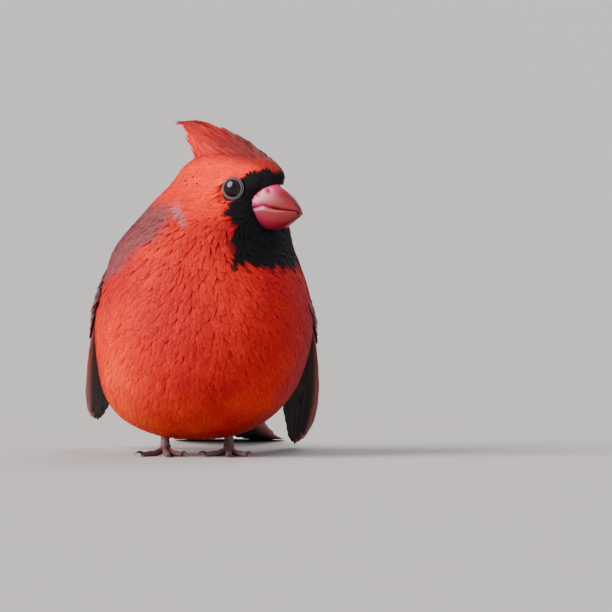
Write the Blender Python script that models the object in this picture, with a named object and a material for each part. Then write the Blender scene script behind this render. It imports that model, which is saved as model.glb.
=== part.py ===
"""A male northern cardinal, life size, as a still museum model.

The bird sits upright and fluffed up, with its head turned to its left, its wings
drooped and its tail laid back to the floor. It faces -Y, its left is +X and the
floor is z = 0. Every length is in metres.

The body, neck and head are modelled as one fluffed form from level slices, then
parted by two thin cuts. What grows from them is cut clear of that form by GAP.
"""

import math
import random
from collections import namedtuple

import bmesh
import bpy
from mathutils import Matrix, Vector

GAP = 0.0003  # clearance between one node and the next
UP = Vector((0, 0, 1))

Slice = namedtuple("Slice", "height x y yaw front back half front_power")

# Level slices through the fluffed body, from under the belly to the crown: where
# the slice is widest, the way it faces, how far it reaches to the front and the
# back, half its width, and how pointed its front is (2 is an ellipse)
BODY_SLICES = (
    Slice(0.0052, -0.0010, 0.0010, 0, 0.0000, 0.0000, 0.0000, 2.0),
    Slice(0.0066, -0.0012, 0.0010, 0, 0.0140, 0.0160, 0.0130, 2.0),
    Slice(0.0120, -0.0014, 0.0000, 0, 0.0260, 0.0330, 0.0238, 2.0),
    Slice(0.0200, -0.0006, -0.0020, 0, 0.0315, 0.0440, 0.0302, 2.0),
    Slice(0.0300, 0.0006, -0.0040, 0, 0.0335, 0.0490, 0.0334, 2.0),
    Slice(0.0400, 0.0012, -0.0050, 0, 0.0330, 0.0475, 0.0348, 2.0),
    Slice(0.0500, 0.0014, -0.0050, 0, 0.0305, 0.0425, 0.0340, 2.0),
    Slice(0.0590, 0.0014, -0.0045, 5, 0.0275, 0.0365, 0.0314, 2.0),
    Slice(0.0670, 0.0014, -0.0020, 16, 0.0252, 0.0300, 0.0286, 2.0),
    Slice(0.0750, 0.0038, 0.0006, 34, 0.0240, 0.0248, 0.0246, 1.95),
    Slice(0.0815, 0.0050, 0.0012, 46, 0.0226, 0.0214, 0.0186, 1.55),
    Slice(0.0870, 0.0060, 0.0006, 50, 0.0262, 0.0172, 0.0122, 1.95),
    Slice(0.0920, 0.0070, -0.0003, 50, 0.0232, 0.0140, 0.0112, 1.9),
    Slice(0.0960, 0.0092, -0.0021, 50, 0.0140, 0.0095, 0.0076, 2.0),
    Slice(0.0976, 0.0106, -0.0033, 50, 0.0000, 0.0000, 0.0000, 2.0),
)
ROWS_PER_SLICE = 3
BODY_SIDES = 32
BACK_POWER = 1.85  # the back of a slice is a little more pointed than an ellipse

# The head's own frame: forward along the bill, left and up from the point between
# the eyes, at their level
HEAD_YAW = math.radians(50)
BETWEEN_EYES = Vector((0.0162, -0.0080, 0.0858))
FORWARD = Vector((math.sin(HEAD_YAW), -math.cos(HEAD_YAW), 0))
LEFTWARD = Vector((math.cos(HEAD_YAW), math.sin(HEAD_YAW), 0))

EYE_RADIUS = 0.0043
EYE_SPREAD = 0.0073  # from the middle of the head to the middle of an eye
EYE_SHOWING = 0.0029  # radius of the eye inside its lids
EYE_FORWARD = math.radians(20)
LID_THICKNESS = 0.00055
LID_RADIUS = 0.0034

# The bill along its own length, from inside the face to its tip: how far ahead of
# the eyes, the height of its ridge, of the mouth line and of its underside from the
# eyes' level, and half its width
BillSlice = namedtuple("BillSlice", "ahead ridge mouth under half")
BILL_SLICES = (
    BillSlice(0.0015, 0.0010, -0.0061, -0.0118, 0.0064),
    BillSlice(0.0045, 0.0024, -0.0061, -0.0128, 0.0066),
    BillSlice(0.0080, 0.0026, -0.0060, -0.0133, 0.0062),
    BillSlice(0.0110, 0.0018, -0.0060, -0.0133, 0.0054),
    BillSlice(0.0140, 0.0002, -0.0065, -0.0126, 0.0043),
    BillSlice(0.0165, -0.0017, -0.0068, -0.0114, 0.0032),
    BillSlice(0.0185, -0.0037, -0.0070, -0.0102, 0.0021),
    BillSlice(0.0203, -0.0058, -0.0073, -0.0092, 0.0011),
)
HOOK = BillSlice(0.0216, -0.0078, -0.0086, -0.0086, 0.0004)
BILL_SIDES = 12
NOSTRIL = Vector((0.0110, 0.0040, -0.0006))

# The crest along the head: how far ahead of the eyes, the heights of its ridge and
# of its root, and half its width
CrestSlice = namedtuple("CrestSlice", "ahead ridge root half")
CREST_SLICES = (
    CrestSlice(0.0110, 0.0068, 0.0010, 0.0050),
    CrestSlice(0.0058, 0.0104, 0.0030, 0.0074),
    CrestSlice(0.0007, 0.0139, 0.0030, 0.0084),
    CrestSlice(-0.0045, 0.0165, 0.0030, 0.0083),
    CrestSlice(-0.0096, 0.0184, 0.0038, 0.0075),
    CrestSlice(-0.0148, 0.0201, 0.0070, 0.0062),
    CrestSlice(-0.0199, 0.0213, 0.0125, 0.0046),
    CrestSlice(-0.0251, 0.0218, 0.0168, 0.0030),
    CrestSlice(-0.0302, 0.0212, 0.0190, 0.0018),
)
CREST_ROUND = 0.0065  # length across the crest that turns one radian about it
CREST_CORE = 5  # the core under the feathers runs through this many of the slices

# The tail's sheet leaves the body at its root and flattens onto the floor
TAIL_LENGTH = 0.100
TAIL_ROOT = Vector((0.0015, 0.0500, 0.0235))
TAIL_SWING = math.radians(5)
TAIL_LAID = 0.88  # share of its length at which it reaches the floor

VANE_THICKNESS = 0.00055
# Share of a feather's length, and of its greatest half width, at each of its rows
FLIGHT_ROWS = ((0.0, 0.50), (0.40, 0.92), (0.78, 0.98), (0.95, 0.66), (1.0, 0.20))
TAIL_ROWS = (
    (0.0, 0.45),
    (0.35, 0.68),
    (0.72, 1.0),
    (0.93, 0.92),
    (0.985, 0.60),
    (1.0, 0.30),
)
SHORT_ROWS = ((0.0, 0.60), (0.50, 1.0), (0.86, 0.78), (1.0, 0.25))
CREST_ROWS = ((0.0, 0.65), (0.60, 1.0), (1.0, 0.14))

WING_LENGTH = 0.0925
# How far along the wing each flight feather reaches, from the outermost primary to
# the innermost tertial
WING_FORMULA = (
    (0.92, 0.98, 1.0, 0.98, 0.94, 0.90, 0.86, 0.83)
    + (0.76, 0.75, 0.735, 0.72, 0.70)
    + (0.65, 0.57, 0.48)
)
# The core under the shoulder's feathers: distances along and across the sheet, and
# its depth under and over it
WING_CORE = (
    (0.000, 0.0090, 0.0150, 0.0008, 0.0008),
    (0.004, 0.0035, 0.0215, 0.0022, 0.0014),
    (0.012, 0.0020, 0.0250, 0.0030, 0.0015),
    (0.022, 0.0020, 0.0250, 0.0030, 0.0013),
    (0.032, 0.0040, 0.0230, 0.0020, 0.0010),
    (0.040, 0.0080, 0.0180, 0.0008, 0.0005),
)
# Each wing's sheet, as for the left wing: its leading edge from the wrist to the tip
# at even steps, the way across it from that edge, and how tightly it bends inwards
WING_EDGE = {
    "left": (
        Vector((0.0334, -0.0140, 0.0478)),
        Vector((0.0366, 0.0100, 0.0348)),
        Vector((0.0372, 0.0360, 0.0168)),
        Vector((0.0336, 0.0620, -0.0014)),
    ),
    "right": (
        Vector((0.0312, -0.0140, 0.0496)),
        Vector((0.0346, 0.0110, 0.0366)),
        Vector((0.0366, 0.0370, 0.0225)),
        Vector((0.0374, 0.0630, 0.0064)),
    ),
}
WING_ACROSS = (
    Vector((-0.12, 0.30, 0.95)),
    Vector((-0.22, 0.30, 0.93)),
    Vector((-0.55, 0.38, 0.74)),
    Vector((-0.78, 0.36, 0.50)),
)
WING_BEND = (24.0, 20.0, 18.0, 14.0)

# Each foot stands with its joint over this point; its toes are the inner, the
# middle, the outer and the hind one, headed to the bird's left of straight ahead
Toe = namedtuple("Toe", "heading length claw")
JOINT_HEIGHT = 0.0030
TOE_RADIUS = 0.00115
TOE_SIDES = 7
SCUTE_LENGTH = 0.0024
FEET = {
    "left": (
        Vector((0.0092, -0.0045, 0)),
        (
            Toe(-38, 0.0120, 0.0048),
            Toe(0, 0.0170, 0.0052),
            Toe(26, 0.0130, 0.0048),
            Toe(188, 0.0110, 0.0066),
        ),
    ),
    "right": (
        Vector((-0.0112, -0.0045, 0)),
        (
            Toe(27, 0.0120, 0.0048),
            Toe(4, 0.0170, 0.0052),
            Toe(-34, 0.0130, 0.0048),
            Toe(174, 0.0110, 0.0066),
        ),
    ),
}

MATERIALS = {
    "plumage_red": ((0.62, 0.055, 0.025), 0.75),
    "plumage_grey": ((0.25, 0.10, 0.09), 0.75),
    "bill": ((0.72, 0.13, 0.10), 0.35),
    "eye": ((0.015, 0.010, 0.010), 0.05),
    "leg_skin": ((0.26, 0.14, 0.15), 0.6),
    "claw": ((0.10, 0.06, 0.055), 0.4),
}


def clear_scene():
    for old in list(bpy.data.objects):
        bpy.data.objects.remove(old)


def material(name):
    found = bpy.data.materials.get(name)
    if found:
        return found
    colour, roughness = MATERIALS[name]
    made = bpy.data.materials.new(name)
    made.use_nodes = True
    shader = made.node_tree.nodes["Principled BSDF"]
    shader.inputs["Base Color"].default_value = (*colour, 1)
    shader.inputs["Roughness"].default_value = roughness
    return made


def add_object(name, bm, surface):
    """Closes a bmesh into a named object with its faces pointing out."""
    bmesh.ops.recalc_face_normals(bm, faces=bm.faces)
    mesh = bpy.data.meshes.new(name)
    bm.to_mesh(mesh)
    bm.free()
    mesh.materials.append(material(surface))
    made = bpy.data.objects.new(name, mesh)
    bpy.context.scene.collection.objects.link(made)
    return made


def between(a, b, c, d, t):
    """A point on the smooth curve that runs from b to c, between a and d."""
    straight = 2 * b + (c - a) * t
    bent = (2 * a - 5 * b + 4 * c - d) * t**2 + (3 * b - a - 3 * c + d) * t**3
    return (straight + bent) * 0.5


def along(stations, share):
    """The value at a share, from 0 to 1, of a smooth curve through evenly spaced stations."""
    last = len(stations) - 1
    place = min(max(share, 0), 1) * last
    i = min(int(place), last - 1)
    before = stations[i - 1] if i else 2 * stations[0] - stations[1]
    after = stations[i + 2] if i + 2 <= last else 2 * stations[last] - stations[last - 1]
    return between(before, stations[i], stations[i + 1], after, place - i)


def loft(rings, closed_tip=False):
    """A closed mesh through rings of points, made by extruding the end cap from ring to ring."""
    bm = bmesh.new()
    bmesh.ops.create_circle(bm, cap_ends=True, segments=len(rings[0]), radius=1)
    bm.faces.ensure_lookup_table()
    cap = bm.faces[0]
    for number, ring in enumerate(rings):
        if number:
            made = bmesh.ops.extrude_face_region(bm, geom=[cap])["geom"]
            if number > 1:
                bm.faces.remove(cap)
            cap = next(g for g in made if isinstance(g, bmesh.types.BMFace))
        for corner, point in zip(cap.loops, ring):
            corner.vert.co = point
    if closed_tip:
        middle = sum((v.co for v in cap.verts), Vector()) / len(cap.verts)
        bmesh.ops.pointmerge(bm, verts=cap.verts[:], merge_co=middle)
    return bm


def apply_boolean(target, operation, tools, solver="EXACT"):
    """Joins closed meshes to target, or cuts them from it, and applies the result."""
    group = bpy.data.collections.new("tools")
    bpy.context.scene.collection.children.link(group)
    for tool in tools:
        group.objects.link(tool)
    modifier = target.modifiers.new("boolean", "BOOLEAN")
    modifier.operation = operation
    modifier.operand_type = "COLLECTION"
    modifier.collection = group
    modifier.solver = solver
    bpy.context.view_layer.update()
    graph = bpy.context.evaluated_depsgraph_get()
    made = bpy.data.meshes.new_from_object(target.evaluated_get(graph))
    target.modifiers.clear()
    target.data = made
    for tool in tools:
        group.objects.unlink(tool)
    bpy.data.collections.remove(group)


def join(target, pieces, solver="EXACT"):
    """Fuses the pieces into target and removes them."""
    apply_boolean(target, "UNION", pieces, solver)
    for piece in pieces:
        bpy.data.objects.remove(piece)
    keep_largest(target)


def cut(target, cutters):
    """Cuts target clear of the cutters, which stay."""
    apply_boolean(target, "DIFFERENCE", cutters)
    keep_largest(target)


def keep_largest(obj):
    """Drops every closed surface of obj but the one with the most volume."""
    bm = bmesh.new()
    bm.from_mesh(obj.data)
    bmesh.ops.triangulate(bm, faces=bm.faces)
    unseen = set(bm.faces)
    shells = []
    while unseen:
        shell, edge = set(), [unseen.pop()]
        while edge:
            face = edge.pop()
            shell.add(face)
            near = {n for e in face.edges for n in e.link_faces} & unseen
            unseen -= near
            edge.extend(near)
        shells.append(shell)

    def volume(shell):
        return sum(a.dot(b.cross(c)) for a, b, c in ([v.co for v in f.verts] for f in shell))

    shells.sort(key=volume)
    loose = [f for shell in shells[:-1] for f in shell]
    bmesh.ops.delete(bm, geom=loose, context="FACES")
    bm.to_mesh(obj.data)
    bm.free()


def clearance_of(obj, margin=GAP):
    """A hidden copy of obj, swollen by the margin, to cut its neighbours clear of it."""
    bm = bmesh.new()
    bm.from_mesh(obj.data)
    bmesh.ops.recalc_face_normals(bm, faces=bm.faces)
    for vertex, normal in [(v, v.normal.copy()) for v in bm.verts]:
        vertex.co += normal * margin
    made = add_object(obj.name + "_clearance", bm, "claw")
    made.hide_render = True
    made.display_type = "WIRE"
    return made


def slice_at(share):
    """The body slice at a share of the way up, with round ends under the belly and on the crown."""
    last = len(BODY_SLICES) - 1
    place = min(share * last, last - 1e-6)
    i = int(place)

    def mirrored(end, inner):
        size = {k: -getattr(inner, k) for k in ("front", "back", "half")}
        return inner._replace(**size) if end.half == 0 else inner

    a = BODY_SLICES[i - 1] if i else mirrored(BODY_SLICES[0], BODY_SLICES[1])
    b, c = BODY_SLICES[i], BODY_SLICES[i + 1]
    d = BODY_SLICES[i + 2] if i + 2 <= last else mirrored(c, b)
    return Slice(*(between(*values, place - i) for values in zip(a, b, c, d)))


def slice_point(cut_at, angle):
    """A point on a slice's outline; angle 0 is at its left and 270 degrees at its front."""
    across, ahead = math.cos(angle), -math.sin(angle)
    power = cut_at.front_power if ahead > 0 else BACK_POWER
    reach = cut_at.front if ahead > 0 else cut_at.back
    yaw = math.radians(cut_at.yaw)
    sideways = math.copysign(abs(across) ** (2 / power), across) * cut_at.half
    onwards = math.copysign(abs(ahead) ** (2 / power), ahead) * reach
    x = cut_at.x + sideways * math.cos(yaw) + onwards * math.sin(yaw)
    y = cut_at.y + sideways * math.sin(yaw) - onwards * math.cos(yaw)
    return Vector((x, y, cut_at.height))


def whole_body():
    """The torso, neck and head as one form: a sphere with each of its rows set on a slice."""
    rows = ROWS_PER_SLICE * (len(BODY_SLICES) - 1)
    bm = bmesh.new()
    bmesh.ops.create_uvsphere(bm, u_segments=BODY_SIDES, v_segments=rows, radius=1)
    for vertex in bm.verts:
        share = 0.5 + math.asin(max(-1, min(1, vertex.co.z))) / math.pi
        here = slice_at(share)
        vertex.co = slice_point(here, math.atan2(vertex.co.y, vertex.co.x))
    body = add_object("torso", bm, "plumage_red")
    join(body, [tail_coverts()])
    return body


def tail_coverts():
    """The feathered cone that carries the body's line into the root of the tail."""
    stations = (
        # along the tail, half width, height above and below the tail's own line
        (-0.030, 0.0215, 0.0190, 0.0130),
        (-0.018, 0.0200, 0.0165, 0.0125),
        (-0.006, 0.0172, 0.0128, 0.0108),
        (0.006, 0.0136, 0.0088, 0.0084),
        (0.017, 0.0100, 0.0054, 0.0060),
        (0.025, 0.0066, 0.0031, 0.0038),
        (0.029, 0.0030, 0.0016, 0.0020),
    )
    rings = []
    for distance, half, above, below in stations:
        ring = []
        for k in range(20):
            angle = math.tau * k / 20
            lift = math.sin(angle) * (above if math.sin(angle) > 0 else below)
            ring.append(tail_point(distance, half * math.cos(angle), lift))
        rings.append(ring)
    return add_object("tail_coverts", loft(rings, closed_tip=True), "plumage_red")


def tail_point(distance, sideways, lift):
    """A point on the tail's sheet: distance from its root, to its left, and above its line."""
    share = distance / TAIL_LENGTH / TAIL_LAID
    drop = TAIL_ROOT.z
    height = drop * max(0, 1 - share) ** 1.7 if share > 0 else drop * (1 - 1.7 * share)
    heading = Vector((math.sin(TAIL_SWING), math.cos(TAIL_SWING), 0))
    aside = Vector((math.cos(TAIL_SWING), -math.sin(TAIL_SWING), 0))
    level = heading * distance * 0.965 + aside * sideways
    return Vector((TAIL_ROOT.x, TAIL_ROOT.y, height + lift)) + level


def head_point(ahead, left, above):
    return BETWEEN_EYES + FORWARD * ahead + LEFTWARD * left + UP * above


def wing_point(side, distance, across, lift):
    """A point on a wing's sheet: distance from the wrist, across from its leading edge, and outwards."""
    share = distance / WING_LENGTH
    edge = along(WING_EDGE[side], share)
    onwards = along(WING_EDGE[side], share + 0.02) - along(WING_EDGE[side], share - 0.02)
    onwards.normalize()
    edge += onwards * (distance - min(max(distance, 0), WING_LENGTH))
    over = along(WING_ACROSS, share)
    over = (over - onwards * over.dot(onwards)).normalized()
    outwards = onwards.cross(over)
    bend = along(WING_BEND, share)
    turn = across * bend
    point = edge + over * math.sin(turn) / bend - outwards * (1 - math.cos(turn)) / bend
    point += (outwards * math.cos(turn) + over * math.sin(turn)) * lift
    if side == "right":
        point.x = -point.x
    return point


def crest_point(behind, around, lift):
    """A point on the crest's surface: behind the eyes, round it from its ridge to the left, and outwards."""
    first, last = CREST_SLICES[0].ahead, CREST_SLICES[-1].ahead
    share = (behind + first) / (first - last)
    here = CrestSlice(*(along(values, share) for values in zip(*CREST_SLICES)))
    angle = around / CREST_ROUND
    left = math.sin(angle) * (here.half + lift)
    above = here.root + math.cos(angle) * (here.ridge - here.root + lift)
    return head_point(-behind, left, above)


def vane(place, root, tip, half, lifts, tilt, rows, surface, columns=1):
    """A thin feather on a sheet, tapered to its tip.

    root and tip are distances along and across the sheet. lifts are its heights over
    the sheet at its two ends, and tilt is how steeply its far side slopes down.
    """
    bm = bmesh.new()
    last = len(rows) - 1
    bmesh.ops.create_grid(bm, x_segments=columns, y_segments=last, size=1)
    bmesh.ops.triangulate(bm, faces=bm.faces)
    raised = bmesh.ops.extrude_face_region(bm, geom=bm.faces[:], use_keep_orig=True)["geom"]
    for vertex in raised:
        if isinstance(vertex, bmesh.types.BMVert):
            vertex.co.z = 1
    run, rise = tip[0] - root[0], tip[1] - root[1]
    length = math.hypot(run, rise)
    for vertex in bm.verts:
        share, width = rows[round((vertex.co.y + 1) / 2 * last)]
        aside = vertex.co.x * half * width
        distance = root[0] + run * share - rise / length * aside
        across = root[1] + rise * share + run / length * aside
        lift = lifts[0] + (lifts[1] - lifts[0]) * share - tilt * aside
        lift += (vertex.co.z - 0.5) * VANE_THICKNESS
        vertex.co = place(distance, across, lift)
    return add_object("vane", bm, surface)


def blade(name, place, stations, sides, surface):
    """A closed form on a sheet, lens-shaped across, through stations along it.

    Each station is a distance along the sheet, its two sides across, and its depth
    under and over the sheet.
    """
    rings = []
    for distance, near, far, under, over in stations:
        middle, reach = (near + far) / 2, (far - near) / 2
        ring = []
        for k in range(sides):
            angle = math.tau * k / sides
            lift = math.sin(angle) * (over if math.sin(angle) > 0 else under)
            ring.append(place(distance, middle + reach * math.cos(angle), lift))
        rings.append(ring)
    return add_object(name, loft(rings), surface)


def crest():
    """The crest: narrow feathers in rows from the forehead back, over a low core."""
    rings = []
    for number, here in enumerate(CREST_SLICES[:CREST_CORE]):
        sunk = 0.0006 + 0.0022 * (number == CREST_CORE - 1)
        ring = []
        for k in range(10):
            angle = math.tau * (k + 0.5) / 10
            height = here.ridge - sunk - here.root if math.cos(angle) > 0 else 0.002
            above = here.root + math.cos(angle) * height
            ring.append(head_point(here.ahead, (here.half - sunk) * math.sin(angle), above))
        rings.append(ring)
    made = add_object("crest", loft(rings), "plumage_red")
    vary = random.Random(4)
    vanes = []
    for row in range(-2, 3):
        around = row * math.radians(34) * CREST_ROUND
        for number in range(5 - abs(row) // 2):
            behind = -0.0085 + 0.0030 * abs(row) + 0.0062 * number
            behind += vary.uniform(-0.0006, 0.0006)
            reach = behind + 0.0146 - 0.0006 * number - 0.0022 * abs(row)
            reach += vary.uniform(-0.001, 0.001)
            layer = 0.00022 * (row % 2)
            ends = (behind, around), (reach, around * (1 + 0.04 * number))
            lifts = (-0.0012 + layer, 0.0003 + layer)
            vanes.append(
                vane(crest_point, *ends, 0.0025, lifts, 0, CREST_ROWS, "plumage_red", 2)
            )
    join(made, vanes)
    return made


def tail():
    """The tail: twelve feathers, the middle pair on top, laid back to the floor."""
    stations = (
        (-0.010, -0.0050, 0.0050, 0.0006, 0.0018),
        (0.010, -0.0060, 0.0060, 0.0000, 0.0022),
        (0.036, -0.0050, 0.0050, 0.0004, 0.0014),
    )
    made = blade("tail", tail_point, stations, 8, "plumage_grey")
    vanes = []
    for pair in range(6):
        for sign in (1, -1):
            lift = VANE_THICKNESS / 2 + 0.00042 * (5 - pair) + (0.0001 if sign > 0 else 0)
            root = (-0.006, sign * (0.0010 + 0.0009 * pair))
            tip = (TAIL_LENGTH - 0.0015 * pair, sign * (0.0018 + 0.0024 * pair))
            vanes.append(
                vane(tail_point, root, tip, 0.0054, (lift, lift), 0, TAIL_ROWS, "plumage_grey")
            )
    join(made, vanes)
    for vertex in made.data.vertices:
        vertex.co.z = max(vertex.co.z, 0)
    return made


def wing(side):
    """A folded wing: flight feathers like roof tiles, with tiers of coverts over their roots."""

    def place(distance, across, lift):
        return wing_point(side, distance, across, lift)

    made = blade("wing_" + side, place, WING_CORE, 12, "plumage_grey")
    vary = random.Random(7 if side == "left" else 8)
    vanes = []

    def add(root, tip, half, lifts, tilt, rows):
        tip = (tip[0] + vary.uniform(-0.0004, 0.0004), tip[1] + vary.uniform(-0.0001, 0.0001))
        vanes.append(vane(place, root, tip, half, lifts, tilt, rows, "plumage_grey"))

    for number, reach in enumerate(WING_FORMULA):
        root = (0.0140 + 0.0003 * number, 0.0030 + 0.0013 * number)
        tip = (WING_LENGTH * reach, 0.0020 + 0.00135 * number)
        half = 0.0026 if number == 0 else 0.0034 + 0.00006 * number
        add(root, tip, half, (0, 0), 0.26, FLIGHT_ROWS)
    for number in range(7):
        root = (0.0080, 0.0038 + 0.0031 * number)
        tip = (0.0370 + 0.0004 * number, root[1])
        add(root, tip, 0.0028, (0.0009, 0.0015), 0.10, SHORT_ROWS)
    for number in range(6):
        root = (0.0030, 0.0045 + 0.0038 * number)
        tip = (0.0235, root[1] + 0.0005)
        add(root, tip, 0.0031, (0.0012, 0.0022), 0.08, SHORT_ROWS)
    for number in range(4):
        behind = 0.0100 + 0.0062 * number
        tip = (behind + 0.0230, 0.0240 - 0.0008 * number)
        add((behind, 0.0250), tip, 0.0034, (0.0008, 0.0022), 0, SHORT_ROWS)
    for number in range(2):
        root = (0.0045 + 0.0012 * number, 0.0038 + 0.0012 * number)
        tip = (0.0275 - 0.0055 * number, 0.0012 + 0.0014 * number)
        lifts = (0.0010 + 0.0004 * number, 0.0017 + 0.0006 * number)
        add(root, tip, 0.0019, lifts, 0.1, SHORT_ROWS)
    join(made, vanes)
    return made


def bill_half(name, upper):
    """The upper or the lower half of the bill, with the line of the mouth between them."""
    power = 2.2 if upper else 2.5
    slices = BILL_SLICES + (HOOK,) if upper else BILL_SLICES
    rings = []
    for here in slices:
        seam = here.mouth + GAP / 2 * (1 if upper else -1)
        height = here.ridge - seam if upper else here.under - seam
        ring = []
        for k in range(BILL_SIDES + 1):
            angle = math.pi * k / BILL_SIDES
            left = math.copysign(abs(math.cos(angle)) ** (2 / power), math.cos(angle))
            above = math.sin(angle) ** (2 / power)
            ring.append(head_point(here.ahead, left * here.half, seam + above * height))
        rings.append(ring)
    return add_object(name, loft(rings), "bill")


def ellipsoid(name, centre, forward, left, above, surface):
    """A round form in the head's frame, with these radii along its axes."""
    bm = bmesh.new()
    bmesh.ops.create_icosphere(bm, subdivisions=2, radius=1)
    for vertex in bm.verts:
        at = vertex.co
        vertex.co = centre + FORWARD * at.x * forward + LEFTWARD * at.y * left + UP * at.z * above
    return add_object(name, bm, surface)


def eye_place(side):
    """The centre of an eye and the way it looks."""
    sign = 1 if side == "left" else -1
    looking = LEFTWARD * sign * math.cos(EYE_FORWARD) + FORWARD * math.sin(EYE_FORWARD)
    return head_point(0, sign * EYE_SPREAD, 0), looking


def eye(side, radius, name):
    centre, looking = eye_place(side)
    bm = bmesh.new()
    bmesh.ops.create_icosphere(bm, subdivisions=3, radius=radius)
    bmesh.ops.transform(bm, matrix=Matrix.Translation(centre), verts=bm.verts)
    return add_object(name, bm, "eye")


def eyelid(side):
    """The ring of bare lid round an eye."""
    centre, looking = eye_place(side)
    depth = math.sqrt(EYE_RADIUS**2 - EYE_SHOWING**2)
    bm = bmesh.new()
    bmesh.ops.create_circle(bm, segments=5, radius=LID_THICKNESS)
    stand = Matrix.Translation((LID_RADIUS, 0, 0)) @ Matrix.Rotation(math.pi / 2, 4, "X")
    bmesh.ops.transform(bm, matrix=stand, verts=bm.verts)
    ring = bm.verts[:] + bm.edges[:]
    bmesh.ops.spin(bm, geom=ring, axis=(0, 0, 1), angle=math.tau, steps=18, use_merge=True)
    turn = looking.to_track_quat("Z", "Y").to_matrix().to_4x4()
    place = Matrix.Translation(centre + looking * depth) @ turn
    bmesh.ops.transform(bm, matrix=place, verts=bm.verts)
    return add_object("eyelid", bm, "plumage_red")


def parted(source, name, planes):
    """A copy of source kept on the inner side of each plane, given as a point and its outward normal."""
    bm = bmesh.new()
    bm.from_mesh(source.data)
    for point, normal in planes:
        geometry = bm.verts[:] + bm.edges[:] + bm.faces[:]
        made = bmesh.ops.bisect_plane(
            bm, geom=geometry, plane_co=point, plane_no=normal, clear_outer=True
        )
        rim = [g for g in made["geom_cut"] if isinstance(g, bmesh.types.BMEdge)]
        bmesh.ops.contextual_create(bm, geom=rim)
    bmesh.ops.triangulate(bm, faces=bm.faces)
    return add_object(name, bm, "plumage_red")


def toe_way(toe):
    heading = math.radians(toe.heading)
    return Vector((math.sin(heading), -math.cos(heading), 0))


def toe_form(foot, toe):
    """A toe with its rings of scutes, sloping from the joint to lie flat on the floor."""
    way = toe_way(toe)
    aside = way.cross(UP)
    scutes = round(toe.length / SCUTE_LENGTH)
    rings = []
    for k in range(scutes):
        for share, swell in ((k / scutes, 1.07), ((k + 0.88) / scutes, 0.95)):
            radius = TOE_RADIUS * swell * (1 - 0.3 * share)
            height = 0.85 * radius + (JOINT_HEIGHT - radius) * max(0, 1 - share / 0.45) ** 2
            centre = foot + way * toe.length * share + UP * height
            ring = []
            for side in range(TOE_SIDES):
                angle = math.tau * (side + 0.75) / TOE_SIDES
                point = centre + (aside * math.cos(angle) + UP * math.sin(angle)) * radius
                point.z = max(point.z, 0)
                ring.append(point)
            rings.append(ring)
    return add_object("toe", loft(rings), "leg_skin")


def leg(side):
    """The lower leg with its toes, up to the feathers of the belly."""
    foot, toes = FEET[side]
    rings = []
    for height, radius in ((0.0018, 0.0012), (0.0030, 0.0019), (0.0042, 0.0015), (0.0140, 0.0014)):
        centre = foot + Vector((0, 0.1 * height, height))
        ring = []
        for k in range(TOE_SIDES):
            angle = math.tau * k / TOE_SIDES
            ring.append(centre + Vector((math.cos(angle), math.sin(angle), 0)) * radius)
        rings.append(ring)
    made = add_object("leg_" + side, loft(rings), "leg_skin")
    join(made, [toe_form(foot, toe) for toe in toes])
    return made


def claw(name, foot, toe):
    """A curved claw that starts just clear of its toe and stays off the floor."""
    way = toe_way(toe)
    aside = way.cross(UP)
    root = foot + way * (toe.length + GAP)
    rings = []
    for k in range(6):
        share = k / 6
        centre = root + way * toe.claw * share
        centre.z = 0.00095 + 0.0031 * share - 0.0036 * share**2
        ring = []
        for turn in range(7):
            angle = math.tau * turn / 7
            across = aside * math.cos(angle) * 0.0005 + UP * math.sin(angle) * 0.0007
            ring.append(centre + across * (1 - 0.85 * share))
        rings.append(ring)
    return add_object(name, loft(rings, closed_tip=True), "claw")


def settle(objects):
    """Moves every node so that the model's box stands centred on the origin."""
    points = [v.co for obj in objects for v in obj.data.vertices]
    low = Vector([min(p[k] for p in points) for k in range(3)])
    high = Vector([max(p[k] for p in points) for k in range(3)])
    shift = Vector((-(low.x + high.x) / 2, -(low.y + high.y) / 2, -low.z))
    for obj in objects:
        obj.data.transform(Matrix.Translation(shift))


clear_scene()
body = whole_body()
around_body = clearance_of(body)

for grown in [crest(), tail(), wing("left"), wing("right")]:
    cut(grown, [around_body])

bill_upper = bill_half("bill_upper", True)
bill_lower = bill_half("bill_lower", False)
cut(bill_lower, [around_body])
nostrils = []
for sign in (1, -1):
    centre = head_point(NOSTRIL.x, sign * NOSTRIL.y, NOSTRIL.z)
    nostrils.append(ellipsoid("nostril", centre, 0.0010, 0.0008, 0.0006, "bill"))
cut(bill_upper, [around_body] + nostrils)
for nostril in nostrils:
    bpy.data.objects.remove(nostril)

for side in ("left", "right"):
    shank = leg(side)
    cut(shank, [around_body])
    foot, toes = FEET[side]
    for number, toe in enumerate(toes, 1):
        claw("claw_%s_%d" % (side, number), foot, toe)
bpy.data.objects.remove(around_body)

# The planes that part the torso from the neck and the neck from the head
shoulder_plane = Vector((0.0010, -0.0020, 0.0665))
shoulder_up = Vector((0, -0.19, 1)).normalized()
jaw_plane = BETWEEN_EYES + FORWARD * 0.012
jaw_plane.z = 0.0710
jaw_up = (UP + FORWARD * 0.306).normalized()
half_gap = GAP / 2

head = parted(body, "head", [(jaw_plane + jaw_up * half_gap, -jaw_up)])
lower_side = (shoulder_plane + shoulder_up * half_gap, -shoulder_up)
parted(body, "neck", [(jaw_plane - jaw_up * half_gap, jaw_up), lower_side])
torso = parted(body, "torso_part", [(shoulder_plane - shoulder_up * half_gap, shoulder_up)])
bpy.data.objects.remove(body)
torso.name = "torso"

join(head, [eyelid("left"), eyelid("right")])
sockets = [eye(side, EYE_RADIUS + GAP, "socket") for side in ("left", "right")]
cut(head, sockets)
for socket in sockets:
    bpy.data.objects.remove(socket)
for side in ("left", "right"):
    eye(side, EYE_RADIUS, "eye_" + side)

settle(list(bpy.context.scene.objects))
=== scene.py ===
import math

import bmesh
import bpy
import numpy as np
from mathutils import Matrix, Vector
from mathutils.bvhtree import BVHTree


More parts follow.
